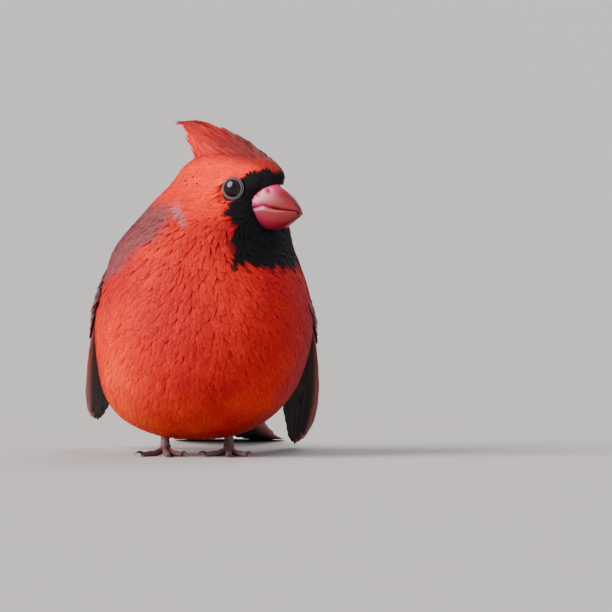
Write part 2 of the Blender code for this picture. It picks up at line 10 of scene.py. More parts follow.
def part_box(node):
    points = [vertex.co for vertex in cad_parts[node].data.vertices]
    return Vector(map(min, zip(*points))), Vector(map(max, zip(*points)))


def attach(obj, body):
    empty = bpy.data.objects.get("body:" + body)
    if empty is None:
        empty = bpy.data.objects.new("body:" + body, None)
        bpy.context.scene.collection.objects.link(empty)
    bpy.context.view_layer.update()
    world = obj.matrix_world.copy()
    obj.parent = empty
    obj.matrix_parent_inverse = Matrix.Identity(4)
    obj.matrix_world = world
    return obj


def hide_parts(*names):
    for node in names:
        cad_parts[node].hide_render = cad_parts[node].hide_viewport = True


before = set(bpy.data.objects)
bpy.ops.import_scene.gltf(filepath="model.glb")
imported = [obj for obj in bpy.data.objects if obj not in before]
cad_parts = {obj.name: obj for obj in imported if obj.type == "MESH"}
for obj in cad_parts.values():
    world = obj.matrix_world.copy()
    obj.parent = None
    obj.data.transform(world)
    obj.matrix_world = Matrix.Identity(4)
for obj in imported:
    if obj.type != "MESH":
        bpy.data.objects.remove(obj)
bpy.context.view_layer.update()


# The skin: the bird's body under its feathers, one unbroken form from the rump to
# the crown. It is made from copies of the torso, neck and head, closed over the thin
# cuts between them and drawn in by the depth of the plumage that grows on it.
EYES_MIDDLE = sum(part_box("eye_left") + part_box("eye_right"), Vector()) / 4
SETTLED = EYES_MIDDLE - Vector((0.0162, -0.0080, 0.0858))
HEAD_YAW = math.radians(50)
FORWARD = Vector((math.sin(HEAD_YAW), -math.cos(HEAD_YAW), 0))
LEFTWARD = Vector((math.cos(HEAD_YAW), math.sin(HEAD_YAW), 0))
UP = Vector((0, 0, 1))
EYE_SPREAD = 0.0073
EYE_RADIUS = 0.0043
EYE_TURN = math.radians(20)
BODY_AXIS = np.array([0.0005, -0.0565, 0.0480])
# The skin's small faces, how far each part is grown to close the cuts, and how often
# the whole is smoothed
SKIN_FACE = 0.0007
CUT_CLOSED = 0.00025
SMOOTHINGS = 12
# How deep the plumage is on the body, the head and the face, and how much deeper the
# skin sinks round the eyes
COAT_DEPTHS = (0.0018, 0.0010, 0.0006)
SOCKET_DEPTH = 0.0009


def head_point(ahead, left, above):
    return EYES_MIDDLE + FORWARD * ahead + LEFTWARD * left + UP * above


def head_points(ahead, left, above):
    """The same for arrays of distances."""
    away = np.stack(np.broadcast_arrays(ahead, left, above), axis=-1)
    return np.array(EYES_MIDDLE) + away @ np.array([FORWARD, LEFTWARD, UP])


def eye_centre(sign):
    return head_point(0, sign * EYE_SPREAD, 0)


def looking_of(sign):
    """The way that an eye looks: out to its side and a little forwards."""
    return LEFTWARD * sign * math.cos(EYE_TURN) + FORWARD * math.sin(EYE_TURN)


def from_eye(points, sign):
    """How far points are from the middle of an eye's showing front."""
    seen = np.array(eye_centre(sign) + looking_of(sign) * EYE_RADIUS)
    return np.linalg.norm(points - seen, axis=-1)


def smooth(low, high, value):
    """0 below low, 1 above high, and a soft step between, for arrays."""
    t = np.clip((value - low) / (high - low), 0, 1)
    return t * t * (3 - 2 * t)


def mix(a, b, share):
    return a + (b - a) * np.asarray(share)[..., None]


def mesh_of(name, bm):
    """Turns a bmesh into a mesh and lets go of it."""
    mesh = bpy.data.meshes.new(name)
    bm.to_mesh(mesh)
    bm.free()
    return mesh


def placed(name, data):
    """Puts a mesh, a light or a camera in the scene as an object of its own."""
    made = bpy.data.objects.new(name, data)
    bpy.context.scene.collection.objects.link(made)
    return made


def grown_skin():
    """The outer form that the tips of the feathers reach, as a mesh of even small faces."""
    bm = bmesh.new()
    for name in ("torso", "neck", "head"):
        bm.from_mesh(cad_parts[name].data)
    bmesh.ops.remove_doubles(bm, verts=bm.verts, dist=1e-6)
    bm.normal_update()
    for vertex, normal in [(v, v.normal.copy()) for v in bm.verts]:
        vertex.co += normal * CUT_CLOSED
    for sign in (1, -1):
        ball = bmesh.ops.create_icosphere(bm, subdivisions=3, radius=EYE_RADIUS + 0.0006)["verts"]
        bmesh.ops.translate(bm, verts=ball, vec=eye_centre(sign) + FORWARD * 0.0002)
    skin = placed("skin", mesh_of("skin", bm))
    remesh = skin.modifiers.new("even", "REMESH")
    remesh.mode = "VOXEL"
    remesh.voxel_size = SKIN_FACE
    bpy.context.view_layer.update()
    graph = bpy.context.evaluated_depsgraph_get()
    skin.data = bpy.data.meshes.new_from_object(skin.evaluated_get(graph))
    skin.modifiers.clear()
    bm = bmesh.new()
    bm.from_mesh(skin.data)
    every_way = {"use_axis_x": True, "use_axis_y": True, "use_axis_z": True}
    for _ in range(SMOOTHINGS):
        bmesh.ops.smooth_vert(bm, verts=bm.verts, factor=0.5, **every_way)
    bm.to_mesh(skin.data)
    bm.free()
    return skin


def mesh_points(mesh):
    points = np.empty(len(mesh.vertices) * 3)
    mesh.vertices.foreach_get("co", points)
    return points.reshape(-1, 3)


def mesh_normals(mesh):
    normals = np.empty(len(mesh.vertices) * 3, np.float32)
    mesh.vertex_normals.foreach_get("vector", normals)
    return normals.reshape(-1, 3).astype(float)


def in_head(points):
    """How far points are ahead, to the left and above the middle of the eyes, in millimetres."""
    away = (points - np.array(EYES_MIDDLE)) * 1000
    return away @ np.array(FORWARD), away @ np.array(LEFTWARD), away[..., 2]


def face_share(points):
    """1 round the bill and falling to 0 at the back of the head and on the breast."""
    ahead, left, above = in_head(points)
    return 1 - smooth(5, 17, np.sqrt((ahead - 8) ** 2 + left**2 + (above + 4) ** 2))


def graded(points, values, low, high):
    """A value for the body, changing to the head's between two heights and to the face's."""
    body, head, face = values
    value = body + (head - body) * smooth(low, high, points[..., 2])
    return value + (face - value) * face_share(points)


def coat_depth(points):
    """How deep the plumage is: full on the body, short on the head, thin at the rump's end."""
    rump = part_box("torso")[1].y
    thinned = np.clip((rump - points[..., 1]) / 0.034, 0.12, 1)
    return graded(points, COAT_DEPTHS, 0.068, 0.083) * thinned


skin = grown_skin()
hull_points = mesh_points(skin.data)
hull_normals = mesh_normals(skin.data)
hull = BVHTree.FromPolygons(
    [Vector(p) for p in hull_points], [tuple(f.vertices) for f in skin.data.polygons]
)
socket = 2 - sum(smooth(0.0034, 0.0058, from_eye(hull_points, sign)) for sign in (1, -1))
under = hull_points - hull_normals * (coat_depth(hull_points) + SOCKET_DEPTH * socket)[:, None]
skin.data.vertices.foreach_set("co", under.astype(np.float32).ravel())
skin.data.update()

# The plumage's colours: brilliant red, deeper on the crown's ridge, greyed over the
# mantle and wings, with a black mask that runs from the eyes round the bill to a bib.
# Painted light and shade are laid over them: warmer orange on the flank that faces the
# key light, mauve on the flank away from it, and darker towards the bottom of the belly.
# Every feather and the skin under it take their colour from this one set of rules.
RED = np.array([0.49, 0.0085, 0.0115])
ORANGE = np.array([0.98, 0.032, 0.004])
DUSKY = np.array([0.17, 0.020, 0.020])
MAUVE = np.array([0.182, 0.062, 0.071])
LILAC = np.array([0.34, 0.150, 0.180])
# A bright orange painted as light on the lower flank that faces the key light
PAINTED_LIGHT_ORANGE = np.array([1.0, 0.110, 0.014])
BLACK = np.array([0.0055, 0.0050, 0.0065])

# Where the black begins, in millimetres from the middle of the eyes: how far ahead at
# each height, and how high over the bill at each distance ahead
MASK_HEIGHTS = (-25.5, -22.0, -18.9, -16.5, -14.0, -11.0, -8.6, -6.4, -3.4, -1.0, 1.5, 3.2, 5.5)
MASK_AHEAD = (10.0, 8.6, 6.6, 5.9, 6.0, 4.6, 2.9, 1.5, 0.4, 0.8, 2.6, 3.2, 6.0)
MASK_REACHES = (1.5, 4.0, 9.5, 13.0)
MASK_TOPS = (2.4, 4.4, 6.2, 5.4)
# How far round from straight ahead the grey of the mantle begins at each height, in
# degrees, on the bird's right and on its left
MANTLE_HEIGHTS = (0.020, 0.045, 0.055, 0.062, 0.070, 0.078, 0.084)
MANTLE_RIGHT = (150, 104, 72, 54, 38, 34, 58)
MANTLE_LEFT = (150, 124, 114, 110, 114, 122, 132)


def soft_noise(points, size, seed):
    """Smooth random values from about -1 to 1 that change over about this many metres."""
    vary = np.random.RandomState(seed)
    total = np.zeros(points.shape[:-1])
    for _ in range(7):
        way = vary.normal(size=3)
        total += np.sin(points @ (way / size * 1.4) + vary.uniform(0, 6.28))
    return total / 3.2


def mask_share(points):
    """1 in the black of the face: lores, chin, the surround of the bill and the bib."""
    ahead, _, above = in_head(points)
    ragged = soft_noise(points, 0.0018, 3) * 0.7
    front = smooth(-0.6, 0.6, ahead - np.interp(above, MASK_HEIGHTS, MASK_AHEAD) + ragged)
    top = np.interp(ahead, MASK_REACHES, MASK_TOPS)
    low = smooth(-0.8, 0.8, above + 25.2 + 1.4 * ragged)
    black = front * (1 - smooth(-0.5, 0.5, above - top + ragged * 0.6)) * low
    for sign in (1, -1):
        far = from_eye(points, sign) * 1000
        black = np.maximum(black, 1 - smooth(3.6, 4.5, far + ragged * 0.3))
    return black


def mantle_share(points):
    """1 on the greyed back between the wings, falling off round the shoulders and the rump."""
    away = points - BODY_AXIS
    around = np.degrees(np.arctan2(away[..., 0], -away[..., 1]))
    around = around + soft_noise(points, 0.006, 5) * 7
    height = points[..., 2]
    right = np.interp(height, MANTLE_HEIGHTS, MANTLE_RIGHT)
    left = np.interp(height, MANTLE_HEIGHTS, MANTLE_LEFT)
    edge = np.where(around < 0, right, left)
    share = smooth(-9, 12, np.abs(around) - edge)
    return share * smooth(0.018, 0.036, height) * (1 - smooth(0.078, 0.084, height))


def plumage_colour(points):
    """The colour of the plumage at points on the body."""
    ahead, left, above = in_head(points)
    patches = soft_noise(points, 0.012, 1) + 0.6 * soft_noise(points, 0.004, 2)
    sides = np.degrees(np.arctan2(points[..., 0] - BODY_AXIS[0], BODY_AXIS[1] - points[..., 1]))
    cheeks = smooth(-14, -2, above) * (1 - smooth(6, 11, above))
    # On the flank that faces the key light the red is painted warmer, and lower down bright orange:
    # painted light
    lit_flank = smooth(20, 62, -sides) * smooth(-30, -42, above) + 0.6 * smooth(-62, -76, above)
    # warm mixes the plumage's own warmer patches and cheeks with the painted light on the lit flank
    warm = 0.10 + 0.16 * patches + 0.55 * cheeks + 0.50 * lit_flank
    colour = mix(RED, ORANGE, np.clip(warm, 0, 1))
    flank_light = (0.25 + 0.2 * patches) * lit_flank * smooth(-44, -66, above)
    colour = mix(colour, PAINTED_LIGHT_ORANGE, np.clip(flank_light, 0, 1))
    crown = smooth(5.0, 9.0, above + 0.25 * ahead - 0.25 * np.abs(left))
    colour = mix(colour, DUSKY, 0.75 * crown)
    colour = mix(colour, MAUVE, 0.88 * mantle_share(points))
    aside = (points[..., 0] - EYES_MIDDLE.x) * 1000 + 22.8 + 0.35 * (above + 8.3)
    lilac = 1 - smooth(0.6, 2.6, np.hypot(aside, (above + 8.3) * 0.45))
    colour = mix(colour, LILAC, 0.75 * lilac * (points[..., 1] < -0.050))
    # Darker towards the bottom of the belly: painted shade under the body
    belly = 1 - smooth(0.006, 0.022, points[..., 2])
    colour = colour * (1 - 0.18 * belly)[..., None]
    # On the flank away from the key light the red is painted towards mauve: painted shade
    colour = mix(colour, MAUVE, 0.30 * smooth(40, 75, sides) * smooth(-20, -34, above))
    return mix(colour, BLACK, mask_share(points))


def paint(mesh, colours):
    """Stores one colour for each vertex, for the plumage material to read."""
    tint = mesh.attributes.new("tint", "FLOAT_COLOR", "POINT")
    values = np.ones((len(colours), 4), np.float32)
    values[:, :3] = colours
    tint.data.foreach_set("color", values.ravel())


def add_node(tree, kind, inputs, **settings):
    """Adds a shader node. Each input is given a value, or the output that it reads."""
    node = tree.nodes.new("ShaderNode" + kind)
    for name, value in settings.items():
        setattr(node, name, value)
    for name, value in inputs.items():
        if isinstance(value, bpy.types.NodeSocket):
            tree.links.new(value, node.inputs[name])
        else:
            node.inputs[name].default_value = value
    return node


def strand_grain():
    """A node group that lightens and darkens a colour in fine strands, and gives their relief."""
    group = bpy.data.node_groups.new("strand_grain", "ShaderNodeTree")
    for name, kind in (("Place", "Vector"), ("Tint", "Color"), ("Contrast", "Float")):
        group.interface.new_socket(name, in_out="INPUT", socket_type="NodeSocket" + kind)
    for name, kind in (("Colour", "Color"), ("Height", "Float")):
        group.interface.new_socket(name, in_out="OUTPUT", socket_type="NodeSocket" + kind)
    given = group.nodes.new("NodeGroupInput").outputs
    result = group.nodes.new("NodeGroupOutput").inputs
    noise = add_node(group, "TexNoise", {"Vector": given["Place"], "Scale": 1, "Detail": 3})
    height = noise.outputs["Fac"]
    shade = add_node(group, "Math", {0: height, 1: 0.5}, operation="SUBTRACT").outputs[0]
    inputs = {0: shade, 1: given["Contrast"], 2: 1}
    scaled = add_node(group, "Math", inputs, operation="MULTIPLY_ADD").outputs[0]
    inputs = {0: given["Tint"], "Scale": scaled}
    tinted = add_node(group, "VectorMath", inputs, operation="SCALE").outputs[0]
    group.links.new(tinted, result["Colour"])
    group.links.new(height, result["Height"])
    return group


STRAND_GRAIN = strand_grain()


def new_material(name, roughness, specular=0.5):
    """A new material, with its node tree and its shader to hand."""
    made = bpy.data.materials.new(name)
    made.use_nodes = True
    shader = made.node_tree.nodes["Principled BSDF"]
    shader.inputs["Roughness"].default_value = roughness
    shader.inputs["Specular IOR Level"].default_value = specular
    return made, made.node_tree, shader


def add_relief(tree, shader, height, distance, strength):
    bump = add_node(tree, "Bump", {"Height": height, "Distance": distance, "Strength": strength})
    tree.links.new(bump.outputs["Normal"], shader.inputs["Normal"])


def coated(made, weight, roughness):
    """Lays a clear wet or polished coat over a material."""
    shader = made.node_tree.nodes["Principled BSDF"]
    shader.inputs["Coat Weight"].default_value = weight
    shader.inputs["Coat Roughness"].default_value = roughness
    return made


def tinted_material(name, scale, contrast, roughness, specular=0.25, layer=None, relief=0.0):
    """Coloured by each point's tint, with a grain on the piece's place or its own UV layer."""
    made, tree, shader = new_material(name, roughness, specular)
    if layer:
        place = add_node(tree, "UVMap", {}, uv_map=layer).outputs["UV"]
    else:
        place = add_node(tree, "TexCoord", {}).outputs["Object"]
    place = add_node(tree, "Mapping", {"Vector": place, "Scale": scale}).outputs["Vector"]
    tint = add_node(tree, "Attribute", {}, attribute_name="tint").outputs["Color"]
    inputs = {"Place": place, "Tint": tint, "Contrast": contrast}
    grain = add_node(tree, "Group", inputs, node_tree=STRAND_GRAIN)
    tree.links.new(grain.outputs["Colour"], shader.inputs["Base Color"])
    if relief:
        add_relief(tree, shader, grain.outputs["Height"], relief, 0.6)
    return made


PLUMAGE = tinted_material("plumage", (4400, 340, 1), 1.1, 0.7, 0.12, "OFBake")
# The skin is painted a quarter brighter than the feathers over it: painted light that lifts the
# shade in the gaps between them
paint(skin.data, np.minimum(plumage_colour(hull_points) * 1.25, 1))
skin.data.materials.clear()
skin.data.materials.append(PLUMAGE)
skin.data.polygons.foreach_set("use_smooth", [True] * len(skin.data.polygons))
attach(skin, "root")
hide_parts("torso", "neck", "head")


# The coat: small contour feathers, each a thin web with two or three pairs of loose
# barbs. They are rooted in the skin and laid back over one another from the bill to
# the tail, short as hair on the face and longest on the breast and flanks.
def strand(path, widths, thickness):
    """A thin closed blade of three sides along a path that ends in a point."""
    points, faces = [], []
    path = np.array(path, float)
    for k in range(len(path) - 1):
        onwards = path[k + 1] - path[max(k - 1, 0)]
        aside = np.array([-onwards[1], onwards[0], 0]) / np.hypot(onwards[0], onwards[1])
        points += [path[k] - aside * widths[k], path[k] + aside * widths[k]]
        points.append(path[k] - [0, 0, thickness])
    points.append(path[-1])
    for k in range(len(path) - 2):
        a, b = 3 * k, 3 * k + 3
        for i, j in ((0, 1), (1, 2), (2, 0)):
            faces += [(a + j, a + i, b + i), (a + j, b + i, b + j)]
    last, tip = 3 * (len(path) - 2), len(points) - 1
    faces += [(last + 1, last, tip), (last + 2, last + 1, tip), (last, last + 2, tip)]
    faces.append((0, 1, 2))
    return np.array(points), np.array(faces)


def tuft_form(pairs, half, breadth, seed):
    """One feather of unit length: along it, across it and above it, its triangles and strands."""
    vary = np.random.RandomState(seed)
    points, faces, strands, count = [], [], [], 0

    def add(path, widths, thickness):
        nonlocal count
        made, sides = strand(path, widths, thickness)
        points.append(made)
        faces.append(sides + count)
        strands.append(np.full(len(made), len(strands)))
        count += len(made)

    web = [(0.10, 0, -0.006), (0.40, 0, -0.006), (0.70, 0, -0.005), (0.90, 0, -0.004), (1.0, 0, 0)]
    add(web, (half * 0.40, half * 0.74, half * 0.74, half * 0.40), 0.006 + 0.46 * half**2)
    for k in range(pairs):
        start = 0.06 + 0.66 * k / max(pairs - 1, 1)
        for sign in (1, -1):
            end = min(start + 0.54 - 0.10 * k / pairs + vary.uniform(-0.05, 0.05), 1.04)
            wide = half * (0.30 + 0.70 * math.sin(math.pi * min(1, 0.10 + 0.80 * end)))
            wide *= vary.uniform(0.75, 1.15)
            lift = vary.uniform(-0.006, 0.010)
            middle = (start + (end - start) * 0.42, sign * wide * 0.62, lift * 0.4)
            path = [(start, 0, 0), middle, (end, sign * wide, lift)]
            add(path, (breadth, breadth), breadth * 0.4)
    return np.concatenate(points), np.concatenate(faces), np.concatenate(strands)


BODY_TUFTS = [tuft_form(3, 0.140, 0.0110, seed) for seed in (11, 12, 13)]
HEAD_TUFTS = [tuft_form(2, 0.21, 0.022, seed) for seed in (14, 15, 16)]
FACE_TUFTS = [tuft_form(3, 0.24, 0.044, seed) for seed in (21, 22, 23)]


# How far apart the feathers' roots are and how long the feathers are, on the body, the
# head and the face
FEATHER_SPACINGS = (0.00116, 0.00085, 0.00056)
FEATHER_LENGTHS = (0.0092, 0.0050, 0.0017)
# How near two roots may come as a share of their spacing, and how many places are
# tried for each root
NEAREST = 0.8
TRIES = 6
# How far feathers turn aside at random, in radians, how strongly they curve down to
# their edges, and how far from the middle of a showing eye they stay
FEATHER_BEND = 0.10
FEATHER_CUP = 0.35
EYE_CLEARANCE = 0.0041
# In how many steps a feather follows the form, and how large its patch of OFBake is
PATH_STEPS = 4
PATCH_SIZE = 0.003


def unit(vectors):
    return vectors / np.linalg.norm(vectors, axis=-1, keepdims=True)


def flattened(ways, normals):
    """Turns ways into the plane that these normals stand on."""
    return ways - normals * np.sum(ways * normals, axis=-1, keepdims=True)


def near_hull(points):
    """The nearest points of the outer form to these, and the ways it faces there."""
    found, facing = np.empty_like(points), np.empty_like(points)
    for k, point in enumerate(points):
        place, normal, _, _ = hull.find_nearest(Vector(point))
        found[k], facing[k] = place, normal
    return found, facing


def lie_of(points, normals):
    """The way that the feathers point: back from the bill over the head, then down and back."""
    bill = np.array(head_point(0.0085, 0, -0.005))
    away = points - bill
    far = np.linalg.norm(away, axis=-1, keepdims=True)
    streaming = away / far + np.array([0, 0, -1.0]) * smooth(0.009, 0.024, far)
    down = np.zeros_like(points) + [0.0, 0.42, -1.0]
    down[..., 0] = 22 * (points[..., 0] - SETTLED.x)
    share = smooth(0.064, 0.080, points[..., 2])[..., None]
    way = down * (1 - share) + streaming * share
    return unit(flattened(way, normals))


def unwrapped(points):
    """A place on the unwrap of the body: round its upright axis, and from the crown to the tail."""
    away = points - BODY_AXIS
    around = np.arctan2(away[..., 0], -away[..., 1]) / math.tau + 0.5
    upward = np.arctan2(away[..., 2], np.hypot(away[..., 0], away[..., 1])) / math.pi + 0.5
    return np.stack([0.01 + 0.98 * around, 0.01 + 0.98 * upward], axis=-1)


def joined_mesh(name, points, faces, tints, patches, material, barbs=None, facing=None):
    """One object from many small closed forms, with their colours and their OFBake patches."""
    mesh = bpy.data.meshes.new(name)
    mesh.vertices.add(len(points))
    mesh.vertices.foreach_set("co", points.astype(np.float32).ravel())
    mesh.loops.add(len(faces) * 3)
    mesh.loops.foreach_set("vertex_index", faces.astype(np.int32).ravel())
    mesh.polygons.add(len(faces))
    starts = np.arange(0, len(faces) * 3, 3, dtype=np.int32)
    mesh.polygons.foreach_set("loop_start", starts)
    mesh.update(calc_edges=True)
    paint(mesh, tints)
    for label, places in (("OFBake", patches), ("barbs", barbs)):
        if places is not None:
            layer = mesh.uv_layers.new(name=label)
            layer.data.foreach_set("uv", places[faces.ravel()].astype(np.float32).ravel())
    mesh.polygons.foreach_set("use_smooth", [True] * len(faces))
    if facing is not None:
        mesh.normals_split_custom_set_from_vertices(facing.astype(np.float32))
    mesh.materials.append(material)
    made = placed(name, mesh)
    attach(made, "root")
    return made


def hull_paths(roots, lengths, depths, rises, seed):
    """The lines that feathers follow along the outer form, from their depth to their rise."""
    vary = np.random.RandomState(seed)
    place, facing = near_hull(roots)
    turn = vary.normal(0, FEATHER_BEND, len(roots))
    centres, normals, asides = [], [], []
    for k in range(PATH_STEPS + 1):
        way = lie_of(place, facing)
        aside = np.cross(facing, way)
        way = way * np.cos(turn)[:, None] + aside * np.sin(turn)[:, None]
        share = k / PATH_STEPS
        sunk = depths * (1 - share) ** 2.8 - rises * share**2
        centres.append(place - facing * sunk[:, None])
        normals.append(facing)
        asides.append(np.cross(facing, way))
        if k < PATH_STEPS:
            place, facing = near_hull(place + way * (lengths / PATH_STEPS)[:, None])
    return [np.stack(a, axis=1) for a in (centres, normals, asides)]


def sheet_paths(place, roots, tips, lifts):
    """The lines that feathers follow on a sheet, from (along, across) roots to tips."""
    near = 0.0002
    centres, normals = [], []
    for k in range(PATH_STEPS + 1):
        share = k / PATH_STEPS
        at = roots + (tips - roots) * share
        lift = lifts[:, 0] + (lifts[:, 1] - lifts[:, 0]) * (1 - (1 - share) ** 1.6)
        here = place(at[:, 0], at[:, 1], lift)
        out = place(at[:, 0], at[:, 1], lift + near) - here
        centres.append(here)
        normals.append(unit(out))
    centres, normals = np.stack(centres, axis=1), np.stack(normals, axis=1)
    return centres, normals, unit(np.cross(normals, np.gradient(centres, axis=1)))


def tufted(name, paths, lengths, forms, colours, roots, seed):
    """Sets a feather on each path, and joins them all into one piece."""
    vary = np.random.RandomState(seed)
    centres, normals, asides = paths
    steps = centres.shape[1] - 1
    pick = vary.randint(0, len(forms), len(centres))
    places = unwrapped(roots)
    points, faces, tints, patches, ways, count = [], [], [], [], [], 0
    for number, (form, sides, strands) in enumerate(forms):
        own = np.flatnonzero(pick == number)
        at = np.clip(form[:, 0], 0, 1) * steps
        low = np.minimum(at.astype(int), steps - 1)
        part = (at - low)[None, :, None]
        spot = centres[own][:, low] * (1 - part) + centres[own][:, low + 1] * part
        out = normals[own][:, low] * (1 - part) + normals[own][:, low + 1] * part
        over = asides[own][:, low] * (1 - part) + asides[own][:, low + 1] * part
        size = lengths[own][:, None, None]
        wide = vary.uniform(0.8, 1.2, (len(own), 1, 1))
        spot = spot + over * form[None, :, 1, None] * size * wide
        spot = spot + out * (form[:, 2] - FEATHER_CUP * form[:, 1] ** 2)[None, :, None] * size
        each = vary.uniform(0.94, 1.06, (len(own), strands.max() + 1))[:, strands]
        shade = 1 + 0.02 * smooth(0.0, 0.7, form[:, 0])
        tint = colours[own][:, None, :] * (each * shade[None, :])[..., None]
        uv = places[own][:, None, :] + (form[None, :, (1, 0)] - [0, 0.5]) * PATCH_SIZE
        shift = (np.arange(len(own)) * len(form))[:, None, None] + count
        lean = (out + over * (form[None, :, 1, None] * 1.2)).reshape(-1, 3)
        points.append(spot.reshape(-1, 3))
        ways.append(unit(lean))
        faces.append((sides[None] + shift).reshape(-1, 3))
        tints.append(tint.reshape(-1, 3))
        patches.append(uv.reshape(-1, 2))
        count += len(own) * len(form)
    joined = (np.concatenate(a) for a in (points, faces, tints, patches))
    made = joined_mesh(name, *joined, PLUMAGE, facing=np.concatenate(ways))
    return made


def scatter(region, seed):
    """Roots spread evenly but not in rows over the part of the outer form that region picks."""
    vary = np.random.RandomState(seed)
    corners = np.empty(len(skin.data.polygons) * 4, np.int32)
    skin.data.polygons.foreach_get("vertices", corners)
    corners = corners.reshape(-1, 4)
    quad = hull_points[corners]
    area = np.linalg.norm(np.cross(quad[:, 2] - quad[:, 0], quad[:, 3] - quad[:, 1]), axis=1) / 2
    middle = quad.mean(axis=1)
    gap = graded(middle, FEATHER_SPACINGS, 0.066, 0.084)
    chance = area * region(middle) / gap**2
    picks = vary.choice(len(area), size=int(chance.sum() * TRIES), p=chance / chance.sum())
    u, v = vary.rand(len(picks), 1), vary.rand(len(picks), 1)
    q = quad[picks]
    spots = (q[:, 0] * (1 - u) + q[:, 1] * u) * (1 - v) + (q[:, 3] * (1 - u) + q[:, 2] * u) * v
    cell = float(gap[picks].max())
    around = [(i, j, m) for i in (-1, 0, 1) for j in (-1, 0, 1) for m in (-1, 0, 1)]
    grid, kept = {}, []
    for k, (spot, space) in enumerate(zip(spots.tolist(), (NEAREST * gap[picks]).tolist())):
        x, y, z = (int(c // cell) for c in spot)
        others = (other for i, j, m in around for other in grid.get((x + i, y + j, z + m), ()))
        if all(math.dist(other, spot) >= space for other in others):
            grid.setdefault((x, y, z), []).append(spot)
            kept.append(k)
    return spots[kept]


def free_of_face(points):
    """True outside the bill's own base and the showing eyes."""
    ahead, left, above = in_head(points)
    on_bill = (ahead > 6.0) & (np.abs(left) < 6.0) & (above > -12.8) & (above < 2.2)
    return ~on_bill & clear_of_eyes(points)


def clear_of_eyes(points):
    return (from_eye(points, 1) > EYE_CLEARANCE) & (from_eye(points, -1) > EYE_CLEARANCE)


def coat_piece(name, region, forms, seed, rise=0.00008):
    """A part of the coat, with its feathers' length and spacing taken from where they grow."""
    roots = scatter(region, seed)
    roots = roots[free_of_face(roots)]
    vary = np.random.RandomState(seed + 1)
    lengths = graded(roots, FEATHER_LENGTHS, 0.064, 0.084) * vary.uniform(0.86, 1.14, len(roots))
    rises = rise * vary.uniform(-1.2, 1.0, len(roots))
    paths = hull_paths(roots, lengths, coat_depth(roots), rises, seed + 2)
    open_eyed = clear_of_eyes(paths[0][:, 2]) & clear_of_eyes(paths[0][:, -1])
    roots, lengths = roots[open_eyed], lengths[open_eyed]
    paths = [part[open_eyed] for part in paths]
    colours = plumage_colour(paths[0][:, 3])
    colours = colours * vary.uniform(0.94, 1.06, (len(roots), 1))
    tufted(name, paths, lengths, forms, colours, roots, seed + 3)


def part_of_coat(low, high, front=None, left=None):
    """Picks the body between two heights, on its front or back and its left or right."""

    def region(points):
        wanted = (points[..., 2] >= low) & (points[..., 2] < high)
        if front is not None:
            wanted &= (points[..., 1] < BODY_AXIS[1]) == front
        if left is not None:
            wanted &= (points[..., 0] > SETTLED.x + 0.001) == left
        return wanted & ~on_face(points)

    return region


def on_face(points):
    return (face_share(points) >= 0.45) & (points[..., 2] >= 0.068)


for front, end in ((True, "front"), (False, "back")):
    for left, side in ((True, "left"), (False, "right")):
        seed = 100 + 10 * front + 20 * left
        lower = part_of_coat(-1, 0.034, front, left)
        upper = part_of_coat(0.034, 0.066, front, left)
        coat_piece("coat_belly_%s_%s" % (end, side), lower, BODY_TUFTS, seed)
        coat_piece("coat_breast_%s_%s" % (end, side), upper, BODY_TUFTS, seed + 5)
coat_piece("coat_neck", part_of_coat(0.066, 0.079), BODY_TUFTS, 210)
coat_piece("coat_head", part_of_coat(0.079, 1), HEAD_TUFTS, 220)
coat_piece("coat_face", on_face, FACE_TUFTS, 230, 0.0001)


# The crest: long narrow feathers that grow from the forehead and crown and come to a
# peak behind. They lie closely over one another round a core of short feathers, dusky
# along the ridge and bright where they meet the head.
CREST_SLICES = (
    # how far ahead of the eyes, the heights of its ridge and root, and half its width
    (0.0110, 0.0068, 0.0010, 0.0050),
    (0.0058, 0.0104, 0.0030, 0.0074),
    (0.0007, 0.0139, 0.0030, 0.0084),
    (-0.0045, 0.0165, 0.0030, 0.0083),
    (-0.0096, 0.0184, 0.0038, 0.0075),
    (-0.0148, 0.0201, 0.0070, 0.0062),
    (-0.0199, 0.0213, 0.0125, 0.0046),
    (-0.0251, 0.0218, 0.0168, 0.0030),
    (-0.0302, 0.0212, 0.0190, 0.0018),
)
CREST_ROUND = 0.0065


def curve(stations, shares):
    """Values at shares from 0 to 1 of the smooth curve through evenly spaced stations."""
    stations = np.array(stations, float)
    last = len(stations) - 1
    before, after = 2 * stations[0] - stations[1], 2 * stations[-1] - stations[-2]
    padded = np.concatenate([[before], stations, [after]])
    place = np.clip(shares, 0, 1) * last
    low = np.minimum(place.astype(int), last - 1)
    t = place - low
    if stations.ndim > 1:
        t = t[..., None]
    a, b, c, d = (padded[low + k] for k in range(4))
    bent = (2 * a - 5 * b + 4 * c - d) * t**2 + (3 * b - a - 3 * c + d) * t**3
    return (2 * b + (c - a) * t + bent) * 0.5


def crest_place(behind, around, lift):
    """Points on the crest: behind the eyes, round it from its ridge to the left, and outwards."""
    slices = np.array(CREST_SLICES)
    share = (behind + slices[0, 0]) / (slices[0, 0] - slices[-1, 0])
    ridge, root, half = np.moveaxis(curve(slices[:, 1:], share), -1, 0)
    lift = np.maximum(lift, -0.75 * half)
    left = np.sin(around / CREST_ROUND) * (half + lift)
    above = root + np.cos(around / CREST_ROUND) * (ridge - root + lift)
    return head_points(-behind, left, above)


